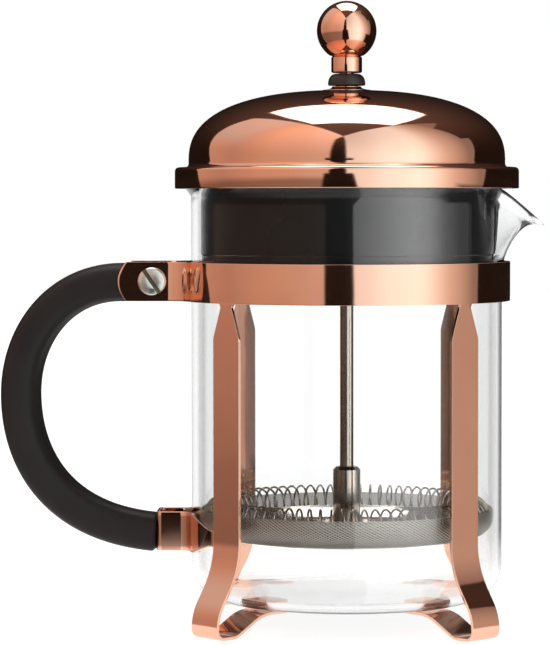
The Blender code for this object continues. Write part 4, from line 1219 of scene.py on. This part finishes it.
def make_plates(steel):
    low = SPIRAL_PLATE_LOW
    high = low + PLATE_SHEET
    holes = bmesh.new()
    for ring_radius, count in HOLE_RINGS:
        for number in range(count):
            x, y = polar(ring_radius, math.tau * number / count + HOLE_TURN)
            bmesh.ops.create_cone(holes, cap_ends=True, segments=40, radius1=HOLE_RADIUS, radius2=HOLE_RADIUS,
                                  depth=CUTTER_HEIGHT, matrix=Matrix.Translation((x, y, (low + high) / 2)))
    outline = [(BORE, low)] + [(radius, low + rise) for radius, rise in SPIRAL_PLATE_RIM]
    outline += [(radius, high + rise) for radius, rise in reversed(SPIRAL_PLATE_RIM)] + [(BORE, high)]
    plate_with_holes("spiral_plate_pressed", outline, holes, steel, "spiral_plate")

    windows = bmesh.new()
    half_in = math.pi / 4 - math.asin(ARM_HALF_WIDTH / WINDOW_INNER)
    half_out = math.pi / 4 - math.asin(ARM_HALF_WIDTH / WINDOW_OUTER)
    for number in range(4):
        middle = math.pi / 4 + number * math.pi / 2
        ring = [polar(WINDOW_INNER, middle - half_in * (1 - k / 4)) for k in range(9)]
        ring += [polar(WINDOW_OUTER, middle + half_out * (1 - k / 12)) for k in range(25)]
        face = windows.faces.new([windows.verts.new((x, y, WINDOW_LOW)) for x, y in ring])
        lifted = bmesh.ops.extrude_face_region(windows, geom=[face])
        top = [item for item in lifted["geom"] if isinstance(item, bmesh.types.BMVert)]
        bmesh.ops.translate(windows, vec=(0, 0, CUTTER_HEIGHT), verts=top)
    agree(windows)
    plate_with_holes("cross_plate_pressed", CROSS_PLATE, windows, steel, "cross_plate")


def main():
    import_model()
    copper = polished("copper_plating", (0.94, 0.54, 0.39), (0.91, 0.50, 0.35), roughness=0.05, wave=0.05)
    # Paler, rougher copper for the sheets' cut edges: the paler colour is a painted highlight.
    copper_edge_highlight = polished("copper_edge_highlight", (0.97, 0.74, 0.60), (0.95, 0.67, 0.52), roughness=0.44, wave=0.02)
    nickel = turned_metal("nickel_plating", (0.88, 0.85, 0.78), (0.72, 0.68, 0.61), roughness=0.29)
    # Dark brownish nickel for the inside of the screw's slot: painted shade in the recess.
    slot_shade_nickel = turned_metal("slot_shade_nickel", (0.20, 0.165, 0.12), (0.13, 0.105, 0.08), roughness=0.4)
    steel = polished("stainless_steel", (0.66, 0.63, 0.58), (0.56, 0.53, 0.48), roughness=0.16, wave=0.03)
    rod_steel = polished(
        "rod_steel", (0.52, 0.47, 0.41), (0.44, 0.40, 0.34), roughness=0.12, wave=0.02, grain=(1, 1, 0.03),
    )
    handle_black = moulded(
        "handle_plastic", (0.016, 0.0128, 0.0122), (0.021, 0.0172, 0.0165), roughness=0.5, grain_size=0.22,
        grain_depth=0.02, specular=0.16,
    )
    lid_black = moulded(
        "lid_plastic", (0.010, 0.010, 0.010), (0.013, 0.013, 0.013), roughness=0.22, grain_size=0.5,
        grain_depth=0.006, specular=0.38,
    )
    bush_black = moulded(
        "bush_plastic", (0.018, 0.014, 0.013), (0.026, 0.021, 0.020), roughness=0.42, grain_size=0.25,
        grain_depth=0.015,
    )

    make_frame(copper, copper_edge_highlight)
    make_bracket(copper, copper_edge_highlight)
    make_clamp(nickel, slot_shade_nickel)
    make_handle(handle_black)
    make_beaker(clear_glass())
    make_lid(copper, lid_black)
    make_top(copper, bush_black)
    make_rod(steel, rod_steel)
    make_coil(rod_steel)
    make_filter(wire_cloth())
    make_plates(steel)
    lower_screw = bpy.data.objects["lower_screw"]
    lower_screw.data.materials.clear()
    lower_screw.data.materials.append(steel)

    add_floor()
    studio()
    add_camera()


main()
